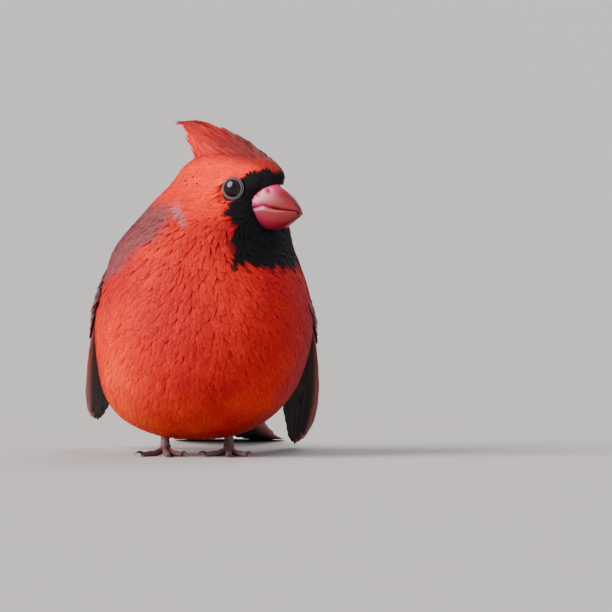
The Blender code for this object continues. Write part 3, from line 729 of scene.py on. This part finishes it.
def lofted(rings):
    """A closed form through rings of points, made by extruding its end cap from ring to ring."""
    bm = bmesh.new()
    bmesh.ops.create_circle(bm, cap_ends=True, segments=len(rings[0]), radius=1)
    bm.faces.ensure_lookup_table()
    cap = bm.faces[0]
    for number, ring in enumerate(rings):
        if number:
            made = bmesh.ops.extrude_face_region(bm, geom=[cap])["geom"]
            if number > 1:
                bm.faces.remove(cap)
            cap = next(g for g in made if isinstance(g, bmesh.types.BMFace))
        for corner, point in zip(cap.loops, ring):
            corner.vert.co = point
    bmesh.ops.recalc_face_normals(bm, faces=bm.faces)
    return bm


def finished(name, bm, material, tint_of=None):
    """Turns a bmesh into a smooth piece that rides on the bird, tinted point by point."""
    mesh = mesh_of(name, bm)
    mesh.polygons.foreach_set("use_smooth", [True] * len(mesh.polygons))
    mesh.materials.append(material)
    if tint_of:
        paint(mesh, tint_of(mesh_points(mesh)))
    made = placed(name, mesh)
    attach(made, "root")
    return made


def lengths_of(paths):
    return np.linalg.norm(np.diff(paths[0], axis=1), axis=2).sum(axis=1)


rings = []
for behind in np.linspace(-0.0095, 0.0255, 14):
    around = np.linspace(0, math.tau, 20, endpoint=False) * CREST_ROUND
    rings.append(crest_place(np.full(20, behind), around, np.full(20, -0.0018)).tolist())
crest_core = finished("crest_core", lofted(rings), PLUMAGE, lambda points: DUSKY + 0 * points)

vary = np.random.RandomState(300)
rows, columns = np.meshgrid(np.arange(21), np.arange(30), indexing="ij")
behind = (-0.0106 + 0.00152 * (rows + vary.uniform(-0.5, 0.5, rows.shape))).ravel()
widest = np.where(behind < 0.005, 84, 160)
turned = widest * ((columns.ravel() + vary.uniform(0, 1, behind.shape)) / 15 - 1)
reach = behind + np.interp(behind, (-0.0104, 0, 0.010, 0.020), (0.0062, 0.0110, 0.0145, 0.0128))
reach = reach - 0.0075 * np.clip(np.abs(turned) / 90, 0, 1.3) * smooth(0.0, 0.012, behind)
reach = reach + vary.normal(0, 0.0008, reach.shape)
around = np.radians(turned) * CREST_ROUND
roots = np.stack([behind, around], axis=1)
tips = np.stack([reach, around * 1.04], axis=1)
ends = vary.uniform(-0.0011, 0.0002, len(around))
lifts = np.stack([np.full(len(around), -0.0021), ends], axis=1)
paths = sheet_paths(crest_place, roots, tips, lifts)
dusky = (1 - smooth(34, 96, np.abs(turned))) * (0.65 + 0.35 * smooth(-0.004, 0.004, -behind))
colours = mix(mix(RED, ORANGE, np.full(len(around), 0.40)), DUSKY, 0.98 * dusky)
colours = colours * vary.uniform(0.72, 1.12, (len(around), 1))
colours = mix(colours, BLACK, 0.75 * mask_share(paths[0][:, 1]))
CREST_TUFTS = [tuft_form(3, 0.070, 0.0120, seed) for seed in (31, 32, 33)]
lengths, roots = lengths_of(paths), paths[0][:, 0]
crest = tufted("crest_feathers", paths, lengths, CREST_TUFTS, colours, roots, 301)
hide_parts("crest")


# The wings: folded like a closed fan, with stiff flight feathers one over the next and
# tiers of softer coverts over their roots. Each vane is a thin blade on a dark shaft,
# its outer web dull red with a pale edge and its inner web nearly black.
WING_LENGTH = 0.0925
WING_EDGE = {
    "left": (
        (0.0334, -0.0140, 0.0478),
        (0.0366, 0.0100, 0.0348),
        (0.0372, 0.0360, 0.0168),
        (0.0336, 0.0620, -0.0014),
    ),
    "right": (
        (0.0312, -0.0140, 0.0496),
        (0.0346, 0.0110, 0.0366),
        (0.0366, 0.0370, 0.0225),
        (0.0374, 0.0630, 0.0064),
    ),
}
WING_ACROSS = ((-0.12, 0.30, 0.95), (-0.22, 0.30, 0.93), (-0.55, 0.38, 0.74), (-0.78, 0.36, 0.50))
WING_BEND = (24.0, 20.0, 18.0, 14.0)
# How far along the wing its flight feathers reach, from the outermost inwards
WING_FORMULA = (
    (0.92, 0.98, 1.0, 0.98, 0.94, 0.90, 0.86, 0.83)
    + (0.76, 0.75, 0.735, 0.72, 0.70)
    + (0.65, 0.57, 0.48)
)
WEB_RED = np.array([0.175, 0.021, 0.015])
WEB_DARK = np.array([0.020, 0.014, 0.013])
WEB_PALE = np.array([0.40, 0.18, 0.155])
COVERT_GREY = np.array([0.20, 0.062, 0.058])


def wing_place(side):
    """Gives points on a wing: along from the wrist, across from its leading edge, and outwards."""

    def place(along, across, lift):
        share = np.clip(along / WING_LENGTH, 0, 1)
        edge = curve(WING_EDGE[side], share)
        onwards = curve(WING_EDGE[side], share + 0.02) - curve(WING_EDGE[side], share - 0.02)
        onwards = unit(onwards)
        edge = edge + onwards * (along - np.clip(along, 0, WING_LENGTH))[..., None]
        over = unit(flattened(curve(WING_ACROSS, share), onwards))
        outwards = np.cross(onwards, over)
        bend = curve(WING_BEND, share)
        sine, cosine = np.sin(across * bend)[..., None], np.cos(across * bend)[..., None]
        point = edge + (over * sine - outwards * (1 - cosine)) / bend[..., None]
        point = point + (outwards * cosine + over * sine) * lift[..., None]
        mirrored = [-1, 1, 1] if side == "right" else [1, 1, 1]
        return point * mirrored + np.array(SETTLED)

    return place


def web_columns(shaft):
    """Places across a vane from -1 to 1, close together at its shaft."""
    if shaft > 0:
        return -web_columns(-shaft)[::-1]
    near = shaft + np.array([-0.07, 0, 0.07])
    inner = shaft + (1 - shaft) * np.array([0.25, 0.5, 0.76, 1.0])
    return np.concatenate([[-1, (shaft * 1.2 - 1) / 2.2], near, inner])


def vane(place, root, tip, half, lifts, tilt, shaft, blunt, webs, vary, flip):
    """A thin feather on a sheet: its points, triangles, tints, place on itself and barb lines."""
    stations = 20
    t = 1 - (1 - np.linspace(0, 1, stations)) ** 1.25
    x = web_columns(shaft)
    past = np.clip((t - blunt) / (1 - blunt), 0, 1)
    width = (0.5 + 0.5 * np.sin(np.minimum(1, t / 0.4) * math.pi / 2)) * np.sqrt(1.0004 - past**2)
    run, rise = tip[0] - root[0], tip[1] - root[1]
    length = math.hypot(run, rise)
    t, x = np.meshgrid(t, x, indexing="ij")
    aside = x * half * width[:, None]
    frayed = vary.normal(0, 0.03, t.shape) - 0.30 * (vary.rand(*t.shape) < 0.04)
    aside = aside * (1 + frayed * (np.abs(x) > 0.98) * (t > 0.25))
    t = t - (t > 0.9) * (np.abs(x) ** 2) * 0.012
    along = root[0] + run * t - rise / length * aside
    across = root[1] + rise * t + run / length * aside
    raised = 0.00010 * np.exp(-(((x - shaft) / 0.04) ** 2)) - 0.00018 * (x - shaft) ** 2
    lift = lifts[0] + (lifts[1] - lifts[0]) * t - tilt * aside + raised
    thick = 0.00016 - 0.00008 * np.abs(x)
    top, low = place(along, across, lift), place(along, across, lift - thick)
    rows, columns = t.shape
    index = np.arange(rows * columns).reshape(t.shape)
    a, b, c, d = index[:-1, :-1], index[1:, :-1], index[1:, 1:], index[:-1, 1:]
    over = np.stack([a, b, c, a, c, d], axis=-1).reshape(-1, 3)
    under = over[:, ::-1] + index.size
    rim = np.concatenate([index[0, ::-1], index[1:, 0], index[-1, 1:], index[-2:0:-1, -1]])
    onward = np.roll(rim, -1)
    low_rim, low_onward = rim + index.size, onward + index.size
    side = np.stack([rim, low_rim, low_onward, rim, low_onward, onward], axis=-1).reshape(-1, 3)
    faces = np.concatenate([over, under, side])
    if flip:
        faces = faces[:, ::-1]
    tints = np.concatenate([webs(x, t, True).reshape(-1, 3), webs(x, t, False).reshape(-1, 3)])
    tints = tints * vary.uniform(0.85, 1.12)
    own = np.stack([(x * width[:, None] + 1) / 2, t], axis=-1).reshape(-1, 2)
    from_shaft = np.abs(aside - shaft * half * width[:, None])
    slant = (t * length - 1.1 * from_shaft) * 1000
    barbs = np.stack([from_shaft * 1000, slant], axis=-1).reshape(-1, 2)
    points = np.concatenate([top.reshape(-1, 3), low.reshape(-1, 3)])
    return points, faces, tints, own, np.concatenate([barbs, barbs])


def vaned(name, vanes):
    """Joins the vanes of a wing or the tail, each with its own two cells of the OFBake map."""
    across = math.ceil(math.sqrt(len(vanes)))
    points, faces, tints, patches, barbs, count = [], [], [], [], [], 0
    for number, (where, sides, tint, own, lines) in enumerate(vanes):
        corner = np.array([number % across, number // across]) / across
        size = np.array([0.46, 0.92]) / across
        shown = corner + 0.02 / across + own * size
        patches += [shown, shown + [0.5 / across, 0]]
        points.append(where)
        faces.append(sides + count)
        tints.append(tint)
        barbs.append(lines)
        count += len(where)
    joined = (np.concatenate(a) for a in (points, faces, tints, patches))
    made = joined_mesh(name, *joined, VANE, np.concatenate(barbs))
    return made


def webs_of(outer, inner, edge, shaft, outer_side=-1):
    """How a vane is coloured: outer and inner web, the outer web's thin edge, and underneath."""

    def webs(x, t, above):
        beyond = (x - shaft) * outer_side
        # Underneath, the dark web is painted half as light again and the outer web a tenth lighter:
        # painted light that lifts the shade the underside lies in
        if not above:
            return mix(WEB_DARK * 1.5, (outer + edge) * 1.1, smooth(-0.45, 0.3, beyond))
        colour = mix(inner, outer, smooth(-0.30, 0.06, beyond))
        colour = mix(colour, edge, 0.75 * smooth(0.88, 1.0, x * outer_side))
        colour = mix(colour, edge, 0.35 * smooth(0.93, 1.0, t) * (outer[0] < 0.2))
        colour = mix(colour, inner, 0.55 * smooth(0.86, 1.0, t))
        line = np.exp(-(((x - shaft) / 0.05) ** 2))
        return mix(colour, WEB_DARK * 0.8, 0.8 * line)

    return webs


VANE = tinted_material("vane_web", (0.35, 4.5, 1), 0.7, 0.5, 0.25, "barbs", 0.00009)
FLIGHT_WEBS = webs_of(WEB_RED, WEB_DARK, WEB_PALE, -0.42)
TERTIAL_WEBS = webs_of(WEB_RED * 0.8, WEB_RED * 0.42, WEB_PALE, -0.25)
COVERT_WEBS = webs_of(COVERT_GREY, COVERT_GREY * 0.5, WEB_PALE * 0.8, -0.2)


def wing_vanes(side):
    """The vanes of one wing: flight feathers, two tiers of coverts and the small thumb feathers."""
    place, flip = wing_place(side), side == "right"
    vary = np.random.RandomState(41 if side == "left" else 42)
    vanes = []

    def add(root, tip, half, lifts, tilt, shaft, blunt, webs):
        tip = (tip[0] + vary.uniform(-0.0005, 0.0005), tip[1] + vary.uniform(-0.0001, 0.0001))
        vanes.append(vane(place, root, tip, half, lifts, tilt, shaft, blunt, webs, vary, flip))

    for feather in range(19):
        number = feather * 15 / 18
        reach = float(np.interp(number, range(16), WING_FORMULA))
        root = (0.0140 + 0.0003 * number, 0.0030 + 0.0013 * number)
        tip = (WING_LENGTH * reach, 0.0020 + 0.00135 * number)
        half = 0.0026 + 0.0008 * min(1, number) + 0.00006 * number
        webs = TERTIAL_WEBS if feather > 15 else FLIGHT_WEBS
        add(root, tip, half, (0, 0), 0.26, -0.42 if feather < 16 else -0.25, 0.72, webs)
    for number in range(13):
        root = (0.0080, 0.0030 + 0.0017 * number)
        tip = (0.0360 + 0.0003 * number + vary.uniform(-0.0008, 0.0008), root[1])
        add(root, tip, 0.0023, (0.0009, 0.0014), 0.13, -0.2, 0.55, COVERT_WEBS)
    for number in range(12):
        root = (0.0030, 0.0038 + 0.0018 * number)
        tip = (0.0222 + vary.uniform(-0.0006, 0.0006), root[1] + 0.0005)
        add(root, tip, 0.0021, (0.0013, 0.0018), 0.12, -0.1, 0.45, COVERT_WEBS)
    for number in range(3):
        root = (0.0045 + 0.0008 * number, 0.0036 + 0.0009 * number)
        tip = (0.0275 - 0.0040 * number, 0.0014 + 0.0010 * number)
        lifts = (0.0011 + 0.0003 * number, 0.0016 + 0.0003 * number)
        add(root, tip, 0.0016, lifts, 0.12, -0.3, 0.6, FLIGHT_WEBS)
    return vanes


def shoulder_paths(side, seed):
    """The small soft feathers over the wrist and shoulder, and those that join them to the back."""
    vary = np.random.RandomState(seed)
    rows, columns = np.meshgrid(np.arange(12), np.arange(19), indexing="ij")
    start = 0.0002 + 0.00105 * (rows + vary.uniform(0, 1, rows.shape))
    over = 0.0010 + 0.00145 * (columns + vary.uniform(-0.5, 0.5, rows.shape))
    down, out = np.meshgrid(np.arange(24), np.arange(5), indexing="ij")
    below = 0.012 + 0.0016 * (down + vary.rand(*down.shape))
    beside = 0.0225 + 0.0013 * (out + vary.rand(*out.shape))
    start = np.concatenate([start.ravel(), below.ravel()])
    over = np.concatenate([over.ravel(), beside.ravel()])
    length = 0.0076 * vary.uniform(0.85, 1.15, start.shape)
    roots = np.stack([start, over], axis=1)
    tips = np.stack([start + length, over + vary.normal(0, 0.0004, over.shape)], axis=1)
    ends = vary.uniform(0.0019, 0.0027, start.shape)
    lifts = np.stack([ends - 0.0010, ends], axis=1)
    paths = sheet_paths(wing_place(side), roots, tips, lifts)
    near, facing = near_hull(paths[0][:, -1])
    beyond = np.sum((paths[0][:, -1] - near) * facing, axis=1)
    kept = (beyond < 0.0028) | (over < 0.019)
    return [part[kept] for part in paths]


for side in ("left", "right"):
    made = vaned("wing_vanes_" + side, wing_vanes(side))
    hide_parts("wing_" + side)
    paths = shoulder_paths(side, 51 if side == "left" else 52)
    vary = np.random.RandomState(53)
    share = soft_noise(paths[0][:, 2], 0.006, 54) * 0.5 + 0.5
    colours = mix(COVERT_GREY * 1.05, MAUVE, np.clip(share, 0, 1))
    colours = colours * vary.uniform(0.8, 1.15, (len(colours), 1))
    lengths, roots = lengths_of(paths), paths[0][:, 0]
    name = "wing_shoulder_" + side
    tufted(name, paths, lengths, BODY_TUFTS, colours, roots, 55)


# The tail: twelve long feathers, the middle pair on top, laid back to the floor. They
# are stiff blades on dark shafts, dull red above, and worn a little at their tips.
TAIL_LENGTH = 0.100
TAIL_ROOT = (0.0015, 0.0500, 0.0235)
TAIL_SWING = math.radians(5)
TAIL_LAID = 0.88


def tail_place(distance, sideways, lift):
    """Points on the tail's sheet: from its root, to its left, and above its line."""
    share = distance / TAIL_LENGTH / TAIL_LAID
    drop = TAIL_ROOT[2]
    laid = drop * np.clip(1 - share, 0, 1) ** 1.7
    height = np.where(share > 0, laid, drop * (1 - 1.7 * share))
    x = TAIL_ROOT[0] + math.sin(TAIL_SWING) * distance * 0.965 + math.cos(TAIL_SWING) * sideways
    y = TAIL_ROOT[1] + math.cos(TAIL_SWING) * distance * 0.965 - math.sin(TAIL_SWING) * sideways
    points = np.stack([x, y, np.maximum(height + lift, 0)], axis=-1)
    return points + np.array(SETTLED)


vary = np.random.RandomState(61)
vanes = []
for pair in range(6):
    for sign in (1, -1):
        lift = 0.00030 + 0.00042 * (5 - pair) + (0.0001 if sign > 0 else 0)
        root = (-0.006, sign * (0.0010 + 0.0009 * pair))
        tip = (TAIL_LENGTH - 0.0015 * pair, sign * (0.0018 + 0.0024 * pair))
        shaft = sign * (0.12 + 0.06 * pair)
        webs = webs_of(WEB_RED * 1.05, WEB_RED * 0.55, WEB_PALE * 0.6, shaft, outer_side=sign)
        blade = (tail_place, root, tip, 0.0054, (lift, lift), 0, shaft, 0.90, webs, vary, True)
        vanes.append(vane(*blade))
tail = vaned("tail_vanes", vanes)
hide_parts("tail")


# The eyes: dark wet balls set in the head, each with a nearly black iris round the
# pupil under a clear glossy front. The lids are two thin bare rings of grey skin that
# hold each ball, the inner one tight on it.
def coloured_by(tree, shader, value, start, end):
    """Gives a shader colours that run between two places and colours with a value."""
    ramp = add_node(tree, "ValToRGB", {"Fac": value})
    for element, (position, colour) in zip(ramp.color_ramp.elements, (start, end)):
        element.position, element.color = position, (*colour, 1)
    tree.links.new(ramp.outputs["Color"], shader.inputs["Base Color"])


def eye_material():
    made, tree, shader = new_material("eye_wet", 0.12, 0.30)
    away = add_node(tree, "Attribute", {}, attribute_name="from_pupil").outputs["Fac"]
    pupil, iris = (0.0015, 0.0015, 0.002), (0.011, 0.006, 0.005)
    coloured_by(tree, shader, away, (0.40, pupil), (0.47, iris))
    return coated(made, 0.12, 0.02)


def lid_material():
    made, tree, shader = new_material("lid_skin", 0.5)
    place = add_node(tree, "TexCoord", {}).outputs["Object"]
    folds = add_node(tree, "TexNoise", {"Vector": place, "Scale": 2600}).outputs["Fac"]
    coloured_by(tree, shader, folds, (0, (0.035, 0.030, 0.036)), (1, (0.17, 0.16, 0.19)))
    add_relief(tree, shader, folds, 0.0001, 0.5)
    return made


EYE_WET = eye_material()
LID_SKIN = lid_material()


def ringed(bm, radius, height, thick):
    """Spins a small round section into a lid ring about the way that the eye looks."""
    new = bmesh.ops.create_circle(bm, segments=8, radius=thick)["verts"]
    stand = Matrix.Translation((radius, 0, height)) @ Matrix.Rotation(math.pi / 2, 4, "X")
    bmesh.ops.transform(bm, matrix=stand, verts=new)
    edges = list({e for v in new for e in v.link_edges})
    bmesh.ops.spin(bm, geom=new + edges, axis=(0, 0, 1), angle=math.tau, steps=48, use_merge=True)


for sign, side in ((1, "left"), (-1, "right")):
    looking = looking_of(sign)
    turn = looking.to_track_quat("Z", "Y").to_matrix().to_4x4()
    seat = Matrix.Translation(eye_centre(sign)) @ turn
    bm = bmesh.new()
    bmesh.ops.create_uvsphere(bm, u_segments=48, v_segments=32, radius=EYE_RADIUS)
    from_pupil = []
    for vertex in bm.verts:
        far = math.hypot(vertex.co.x, vertex.co.y) / EYE_RADIUS
        from_pupil.append(min(1.0, far) if vertex.co.z > 0 else 1.0)
    bmesh.ops.transform(bm, matrix=seat, verts=bm.verts)
    ball = finished("eyeball_" + side, bm, EYE_WET)
    layer = ball.data.attributes.new("from_pupil", "FLOAT", "POINT")
    layer.data.foreach_set("value", from_pupil)
    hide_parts("eye_" + side)

    bm = bmesh.new()
    for radius, thick, raised in ((0.00306, 0.00019, 0.00008), (0.00350, 0.00024, 0.00020)):
        height = math.sqrt(EYE_RADIUS**2 - radius**2) + raised
        ringed(bm, radius, height, thick)
    bmesh.ops.transform(bm, matrix=seat, verts=bm.verts)
    bmesh.ops.recalc_face_normals(bm, faces=bm.faces)
    finished("lids_" + side, bm, LID_SKIN)


# The bill: two strong halves of horn, coral red, pink at the base partly of its own colour
# and partly as painted sheen, with a painted mauve sheen there too; the lower half is painted
# darker as painted shade. The upper one is hooked a little over the lower and has a nostril on
# each side, painted nearly black as the shade of its opening.
BILL_SLICES = (
    # how far ahead of the eyes, heights of ridge, mouth and underside, and half width
    (0.0015, 0.0010, -0.0061, -0.0118, 0.0064),
    (0.0045, 0.0024, -0.0061, -0.0128, 0.0066),
    (0.0080, 0.0026, -0.0060, -0.0133, 0.0062),
    (0.0110, 0.0018, -0.0060, -0.0133, 0.0054),
    (0.0140, 0.0002, -0.0065, -0.0126, 0.0043),
    (0.0165, -0.0017, -0.0068, -0.0114, 0.0032),
    (0.0185, -0.0037, -0.0070, -0.0102, 0.0021),
    (0.0203, -0.0058, -0.0073, -0.0092, 0.0011),
)
BILL_HOOK = (0.0216, -0.0078, -0.0086, -0.0086, 0.0003)
NOSTRIL = (11.0, 4.0, -0.6)
NOSTRIL_STRETCH = 1.5
# Deep red, a pink that is partly the horn's own and partly painted sheen, and a painted mauve sheen
BILL_RED = np.array([0.21, 0.0015, 0.006])
BILL_PINK_AND_SHEEN = np.array([0.78, 0.060, 0.230])
BILL_MAUVE_SHEEN = np.array([0.40, 0.080, 0.190])


def from_nostril(points):
    ahead, left, above = in_head(points)
    along = (ahead - NOSTRIL[0]) / NOSTRIL_STRETCH
    return np.sqrt(along**2 + (np.abs(left) - NOSTRIL[1]) ** 2 + (above - NOSTRIL[2]) ** 2)


def bill_colour(points):
    ahead, left, above = in_head(points)
    patches = soft_noise(points, 0.0035, 71) * 0.18
    # Pink at the base, partly the horn's own and partly painted sheen, running to red at the tip
    colour = mix(BILL_RED, BILL_PINK_AND_SHEEN, np.clip(0.95 - smooth(6, 17, ahead) + patches, 0, 1))
    # The lower half, facing down, is painted towards the deep red: painted shade
    lower = smooth(-6.2, -7.6, above)
    colour = mix(colour, BILL_RED, 0.75 * lower * smooth(5, 9, ahead))
    # A painted mauve sheen at the base
    colour = mix(colour, BILL_MAUVE_SHEEN, 0.7 * (1 - smooth(5.5, 8.5, ahead)))
    stations, ridges = (1000 * np.array(BILL_SLICES)[:, :2]).T
    ridge = np.interp(ahead, stations, ridges)
    culmen = (1 - smooth(0.3, 1.2, np.abs(left))) * (1 - smooth(0.1, 0.7, ridge - above))
    colour = colour * (1 - 0.6 * culmen)[..., None]
    colour = colour * (1 - 0.45 * smooth(18.5, 21.5, ahead))[..., None]
    pale = np.exp(-((ahead - 9.8) ** 2 + (above + 5.9) ** 2) / 0.18)
    colour = mix(colour, np.array([0.75, 0.50, 0.50]), 0.5 * pale)
    # The nostril is painted nearly black: painted shade of its opening
    return colour * (1 - 0.93 * (1 - smooth(0.35, 0.75, from_nostril(points))))[..., None]


def horn_material(name, scale, contrast, roughness, coat):
    made = tinted_material(name, scale, contrast, roughness, 0.5, relief=0.00003)
    return coated(made, coat, 0.18)


BILL_HORN = horn_material("bill_horn", (420, 420, 900), 0.22, 0.36, 0.22)
for upper, name in ((True, "bill_upper"), (False, "bill_lower")):
    power = 2.2 if upper else 2.5
    slices = BILL_SLICES + (BILL_HOOK,) if upper else BILL_SLICES
    rings = []
    for ahead, ridge, mouth, low, half in curve(slices, np.linspace(0, 1, 34)):
        mouth += 0.0006 * math.exp(-(((ahead - 0.0098) / 0.0015) ** 2))
        mouth -= 0.0007 * float(smooth(0.0062, 0.0035, ahead))
        seam = mouth + 0.00012 * (1 if upper else -1)
        height = ridge - seam if upper else low - seam
        angle = np.pi * np.arange(25) / 24
        left = np.sign(np.cos(angle)) * np.abs(np.cos(angle)) ** (2 / power) * half
        above = seam + np.sin(angle) ** (2 / power) * height
        ring = head_points(ahead, left, above)
        if upper:
            dent = np.exp(-((from_nostril(ring) / 0.62) ** 2)) * np.sign(left) * 0.0007
            ring -= dent[:, None] * np.array(LEFTWARD)
        rings.append(ring.tolist())
    made = finished(name + "_horn", lofted(rings), BILL_HORN, bill_colour)
    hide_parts(name)


# The bristles: short black hair-like feathers at the corners of the mouth and round the
# base of the bill, which curve forwards and down over it.
vary = np.random.RandomState(81)
paths = [[], [], []]
for _ in range(46):
    sign = vary.choice((-1, 1))
    turn = math.radians(vary.uniform(-75, 62))
    root = Vector((0.0066, sign * 0.0064 * math.cos(turn), -0.0052 + 0.0074 * math.sin(turn)))
    way = Vector((0.72, sign * 0.55 * math.cos(turn), 0.55 * math.sin(turn) - 0.15))
    length = vary.uniform(0.0018, 0.0036)
    curl = vary.uniform(0.0, 0.35) * length
    line = []
    for k in range(5):
        t = k / 4
        line.append(head_point(*(root + way.normalized() * length * t)) - UP * curl * t * t)
    outward = LEFTWARD * sign * math.cos(turn) + UP * math.sin(turn)
    heading = (line[-1] - line[0]).normalized()
    normal = (outward - heading * outward.dot(heading)).normalized()
    paths[0].append(line)
    paths[1].append([normal] * 5)
    paths[2].append([normal.cross(heading)] * 5)
paths = [np.array(values, float) for values in paths]
BRISTLES = [tuft_form(0, 0.035, 0, 82)]
colours = np.tile(BLACK, (len(paths[0]), 1))
tufted("bristles", paths, lengths_of(paths), BRISTLES, colours, paths[0][:, 0], 83)


# The legs and toes: thin bare shanks in ringed scutes of purplish grey horn, with three
# toes forwards and one back, padded underneath and laid flat on the floor.
FEET = {
    # where the joint stands, and the heading, length and claw of each toe
    "left": (
        (0.0092, -0.0045),
        ((-38, 0.0120, 0.0048), (0, 0.0170, 0.0052), (26, 0.0130, 0.0048), (188, 0.0110, 0.0066)),
    ),
    "right": (
        (-0.0112, -0.0045),
        ((27, 0.0120, 0.0048), (4, 0.0170, 0.0052), (-34, 0.0130, 0.0048), (174, 0.0110, 0.0066)),
    ),
}
JOINT_HEIGHT = 0.0030
TOE_RADIUS = 0.00115
SCUTE = 0.0013
LEG_GREY = np.array([0.21, 0.118, 0.132])
LEG_BROWN = np.array([0.120, 0.055, 0.058])


def leg_colour(points):
    share = soft_noise(points, 0.0022, 91) * 0.5 + 0.45 + 60 * (points[..., 2] - 0.003)
    return mix(LEG_BROWN, LEG_GREY, np.clip(share, 0, 1))


def claw_colour(points):
    share = soft_noise(points, 0.002, 93) * 0.3 + 0.3
    return mix(np.array([0.030, 0.018, 0.017]), LEG_BROWN, share)


def ring_round(centre, across, upward, radius, sides=14):
    ring = []
    for k in range(sides):
        angle = math.tau * (k + 0.5) / sides
        point = centre + (across * math.cos(angle) + upward * math.sin(angle)) * radius
        point.z = max(point.z, 0)
        ring.append(point)
    return ring


def scuted(length):
    """Shares along a toe or shank and how thick it is there, stepped at each scute."""
    scutes = round(length / SCUTE)
    steps = ((0, 0.95), (0.12, 1.05), (0.80, 1.0), (0.93, 0.93))
    return [((k + part) / scutes, swell) for k in range(scutes) for part, swell in steps]


def joined_lofts(lofts):
    """Puts several closed lofts into one bmesh."""
    whole = bmesh.new()
    for rings in lofts:
        mesh = mesh_of("part", lofted(rings))
        whole.from_mesh(mesh)
        bpy.data.meshes.remove(mesh)
    return whole


def toe_rings(foot, heading, length):
    way = Vector((math.sin(heading), -math.cos(heading), 0))
    across = way.cross(UP)
    rings = []
    for share, swell in scuted(length) + [(1.0, 0.75), (1.02, 0.35)]:
        pads = 1 + 0.10 * math.cos(share * math.tau * 3) * (share > 0.2)
        radius = TOE_RADIUS * swell * (1 - 0.3 * share)
        height = 0.85 * radius * pads + (JOINT_HEIGHT - radius) * max(0, 1 - share / 0.45) ** 2
        centre = foot + way * length * min(share, 1.0) + UP * height
        rings.append(ring_round(centre, across, UP, radius))
    return rings


def claw_rings(foot, heading, length, claw):
    way = Vector((math.sin(heading), -math.cos(heading), 0))
    across = way.cross(UP)
    rings = []
    for k in range(13):
        share = k / 12
        centre = foot + way * (length - 0.0002 + claw * share)
        centre.z = 0.00095 + 0.0031 * share - 0.0036 * share**2
        size = max(0.02, 1 - 0.9 * share**0.8)
        rings.append(ring_round(centre, across * 0.0005, UP * 0.0007, size, 12))
    return rings


LEG_SKIN = tinted_material("leg_scutes", (900, 900, 900), 0.55, 0.5, relief=0.00006)
CLAW_HORN = horn_material("claw_horn", (500, 500, 500), 0.3, 0.3, 0.2)
for side, (stand, toes) in FEET.items():
    foot = SETTLED + Vector((*stand, 0))
    shank = [ring_round(foot + UP * 0.0018, Vector((1, 0, 0)), Vector((0, 1, 0)), 0.0010)]
    for share, swell in scuted(0.0130):
        height = 0.0026 + 0.0130 * share
        knuckle = 1 + 0.35 * math.exp(-(((height - 0.0030) / 0.0007) ** 2))
        centre = foot + Vector((0, 0.1 * height, height))
        radius = 0.00142 * swell * knuckle
        shank.append(ring_round(centre, Vector((1, 0, 0)), Vector((0, 1, 0)), radius))
    headings = [math.radians(toe[0]) for toe in toes]
    parts = [shank] + [toe_rings(foot, at, toe[1]) for at, toe in zip(headings, toes)]
    made = finished("leg_scuted_" + side, joined_lofts(parts), LEG_SKIN, leg_colour)
    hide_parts("leg_" + side)

    parts = [claw_rings(foot, at, toe[1], toe[2]) for at, toe in zip(headings, toes)]
    horn = finished("claws_" + side, joined_lofts(parts), CLAW_HORN, claw_colour)
    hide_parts(*("claw_%s_%d" % (side, number) for number in (1, 2, 3, 4)))


# The floor and light: a wide plain pale floor, a broad warm light from high on the
# bird's right, a weak cool one on its left, one behind, and an even pale surround.
bm = bmesh.new()
bmesh.ops.create_circle(bm, cap_ends=True, segments=96, radius=70)
floor = placed("floor", mesh_of("floor", bm))
pale, _, shader = new_material("floor_pale", 0.9)
shader.inputs["Base Color"].default_value = (0.40, 0.388, 0.392, 1)
floor.data.materials.append(pale)

world = bpy.data.worlds.new("surround")
world.use_nodes = True
world.node_tree.nodes["Background"].inputs["Color"].default_value = (0.80, 0.80, 0.84, 1)
world.node_tree.nodes["Background"].inputs["Strength"].default_value = 0.75
bpy.context.scene.world = world


def broad_light(name, towards, strength, spread, colour):
    data = bpy.data.lights.new(name, "SUN")
    data.energy = strength
    data.angle = math.radians(spread)
    data.color = colour
    placed(name, data).rotation_euler = Vector(towards).to_track_quat("-Z", "Y").to_euler()


broad_light("key", (0.80, 0.40, -0.52), 6.6, 46, (1.0, 0.93, 0.84))
broad_light("fill", (-0.85, 0.45, -0.35), 0.5, 35, (0.86, 0.92, 1.0))
broad_light("rim", (-0.30, -0.80, -0.60), 1.2, 24, (1.0, 0.97, 0.94))

# The camera: level with the bird's belly, a very long lens from straight in front.
WIDTH_SEEN = 0.1958
AIM = Vector((0.0337, -0.062, 0.048))
ELEVATION = math.radians(1.5)
lens = bpy.data.cameras.new("camera")
lens.lens = 800
lens.sensor_width = 36
lens.clip_start, lens.clip_end = 0.1, 150
camera = placed("camera", lens)
back = Vector((0, -math.cos(ELEVATION), math.sin(ELEVATION)))
camera.location = AIM + back * WIDTH_SEEN * lens.lens / lens.sensor_width
camera.rotation_euler = (-back).to_track_quat("-Z", "Y").to_euler()
bpy.context.scene.camera = camera
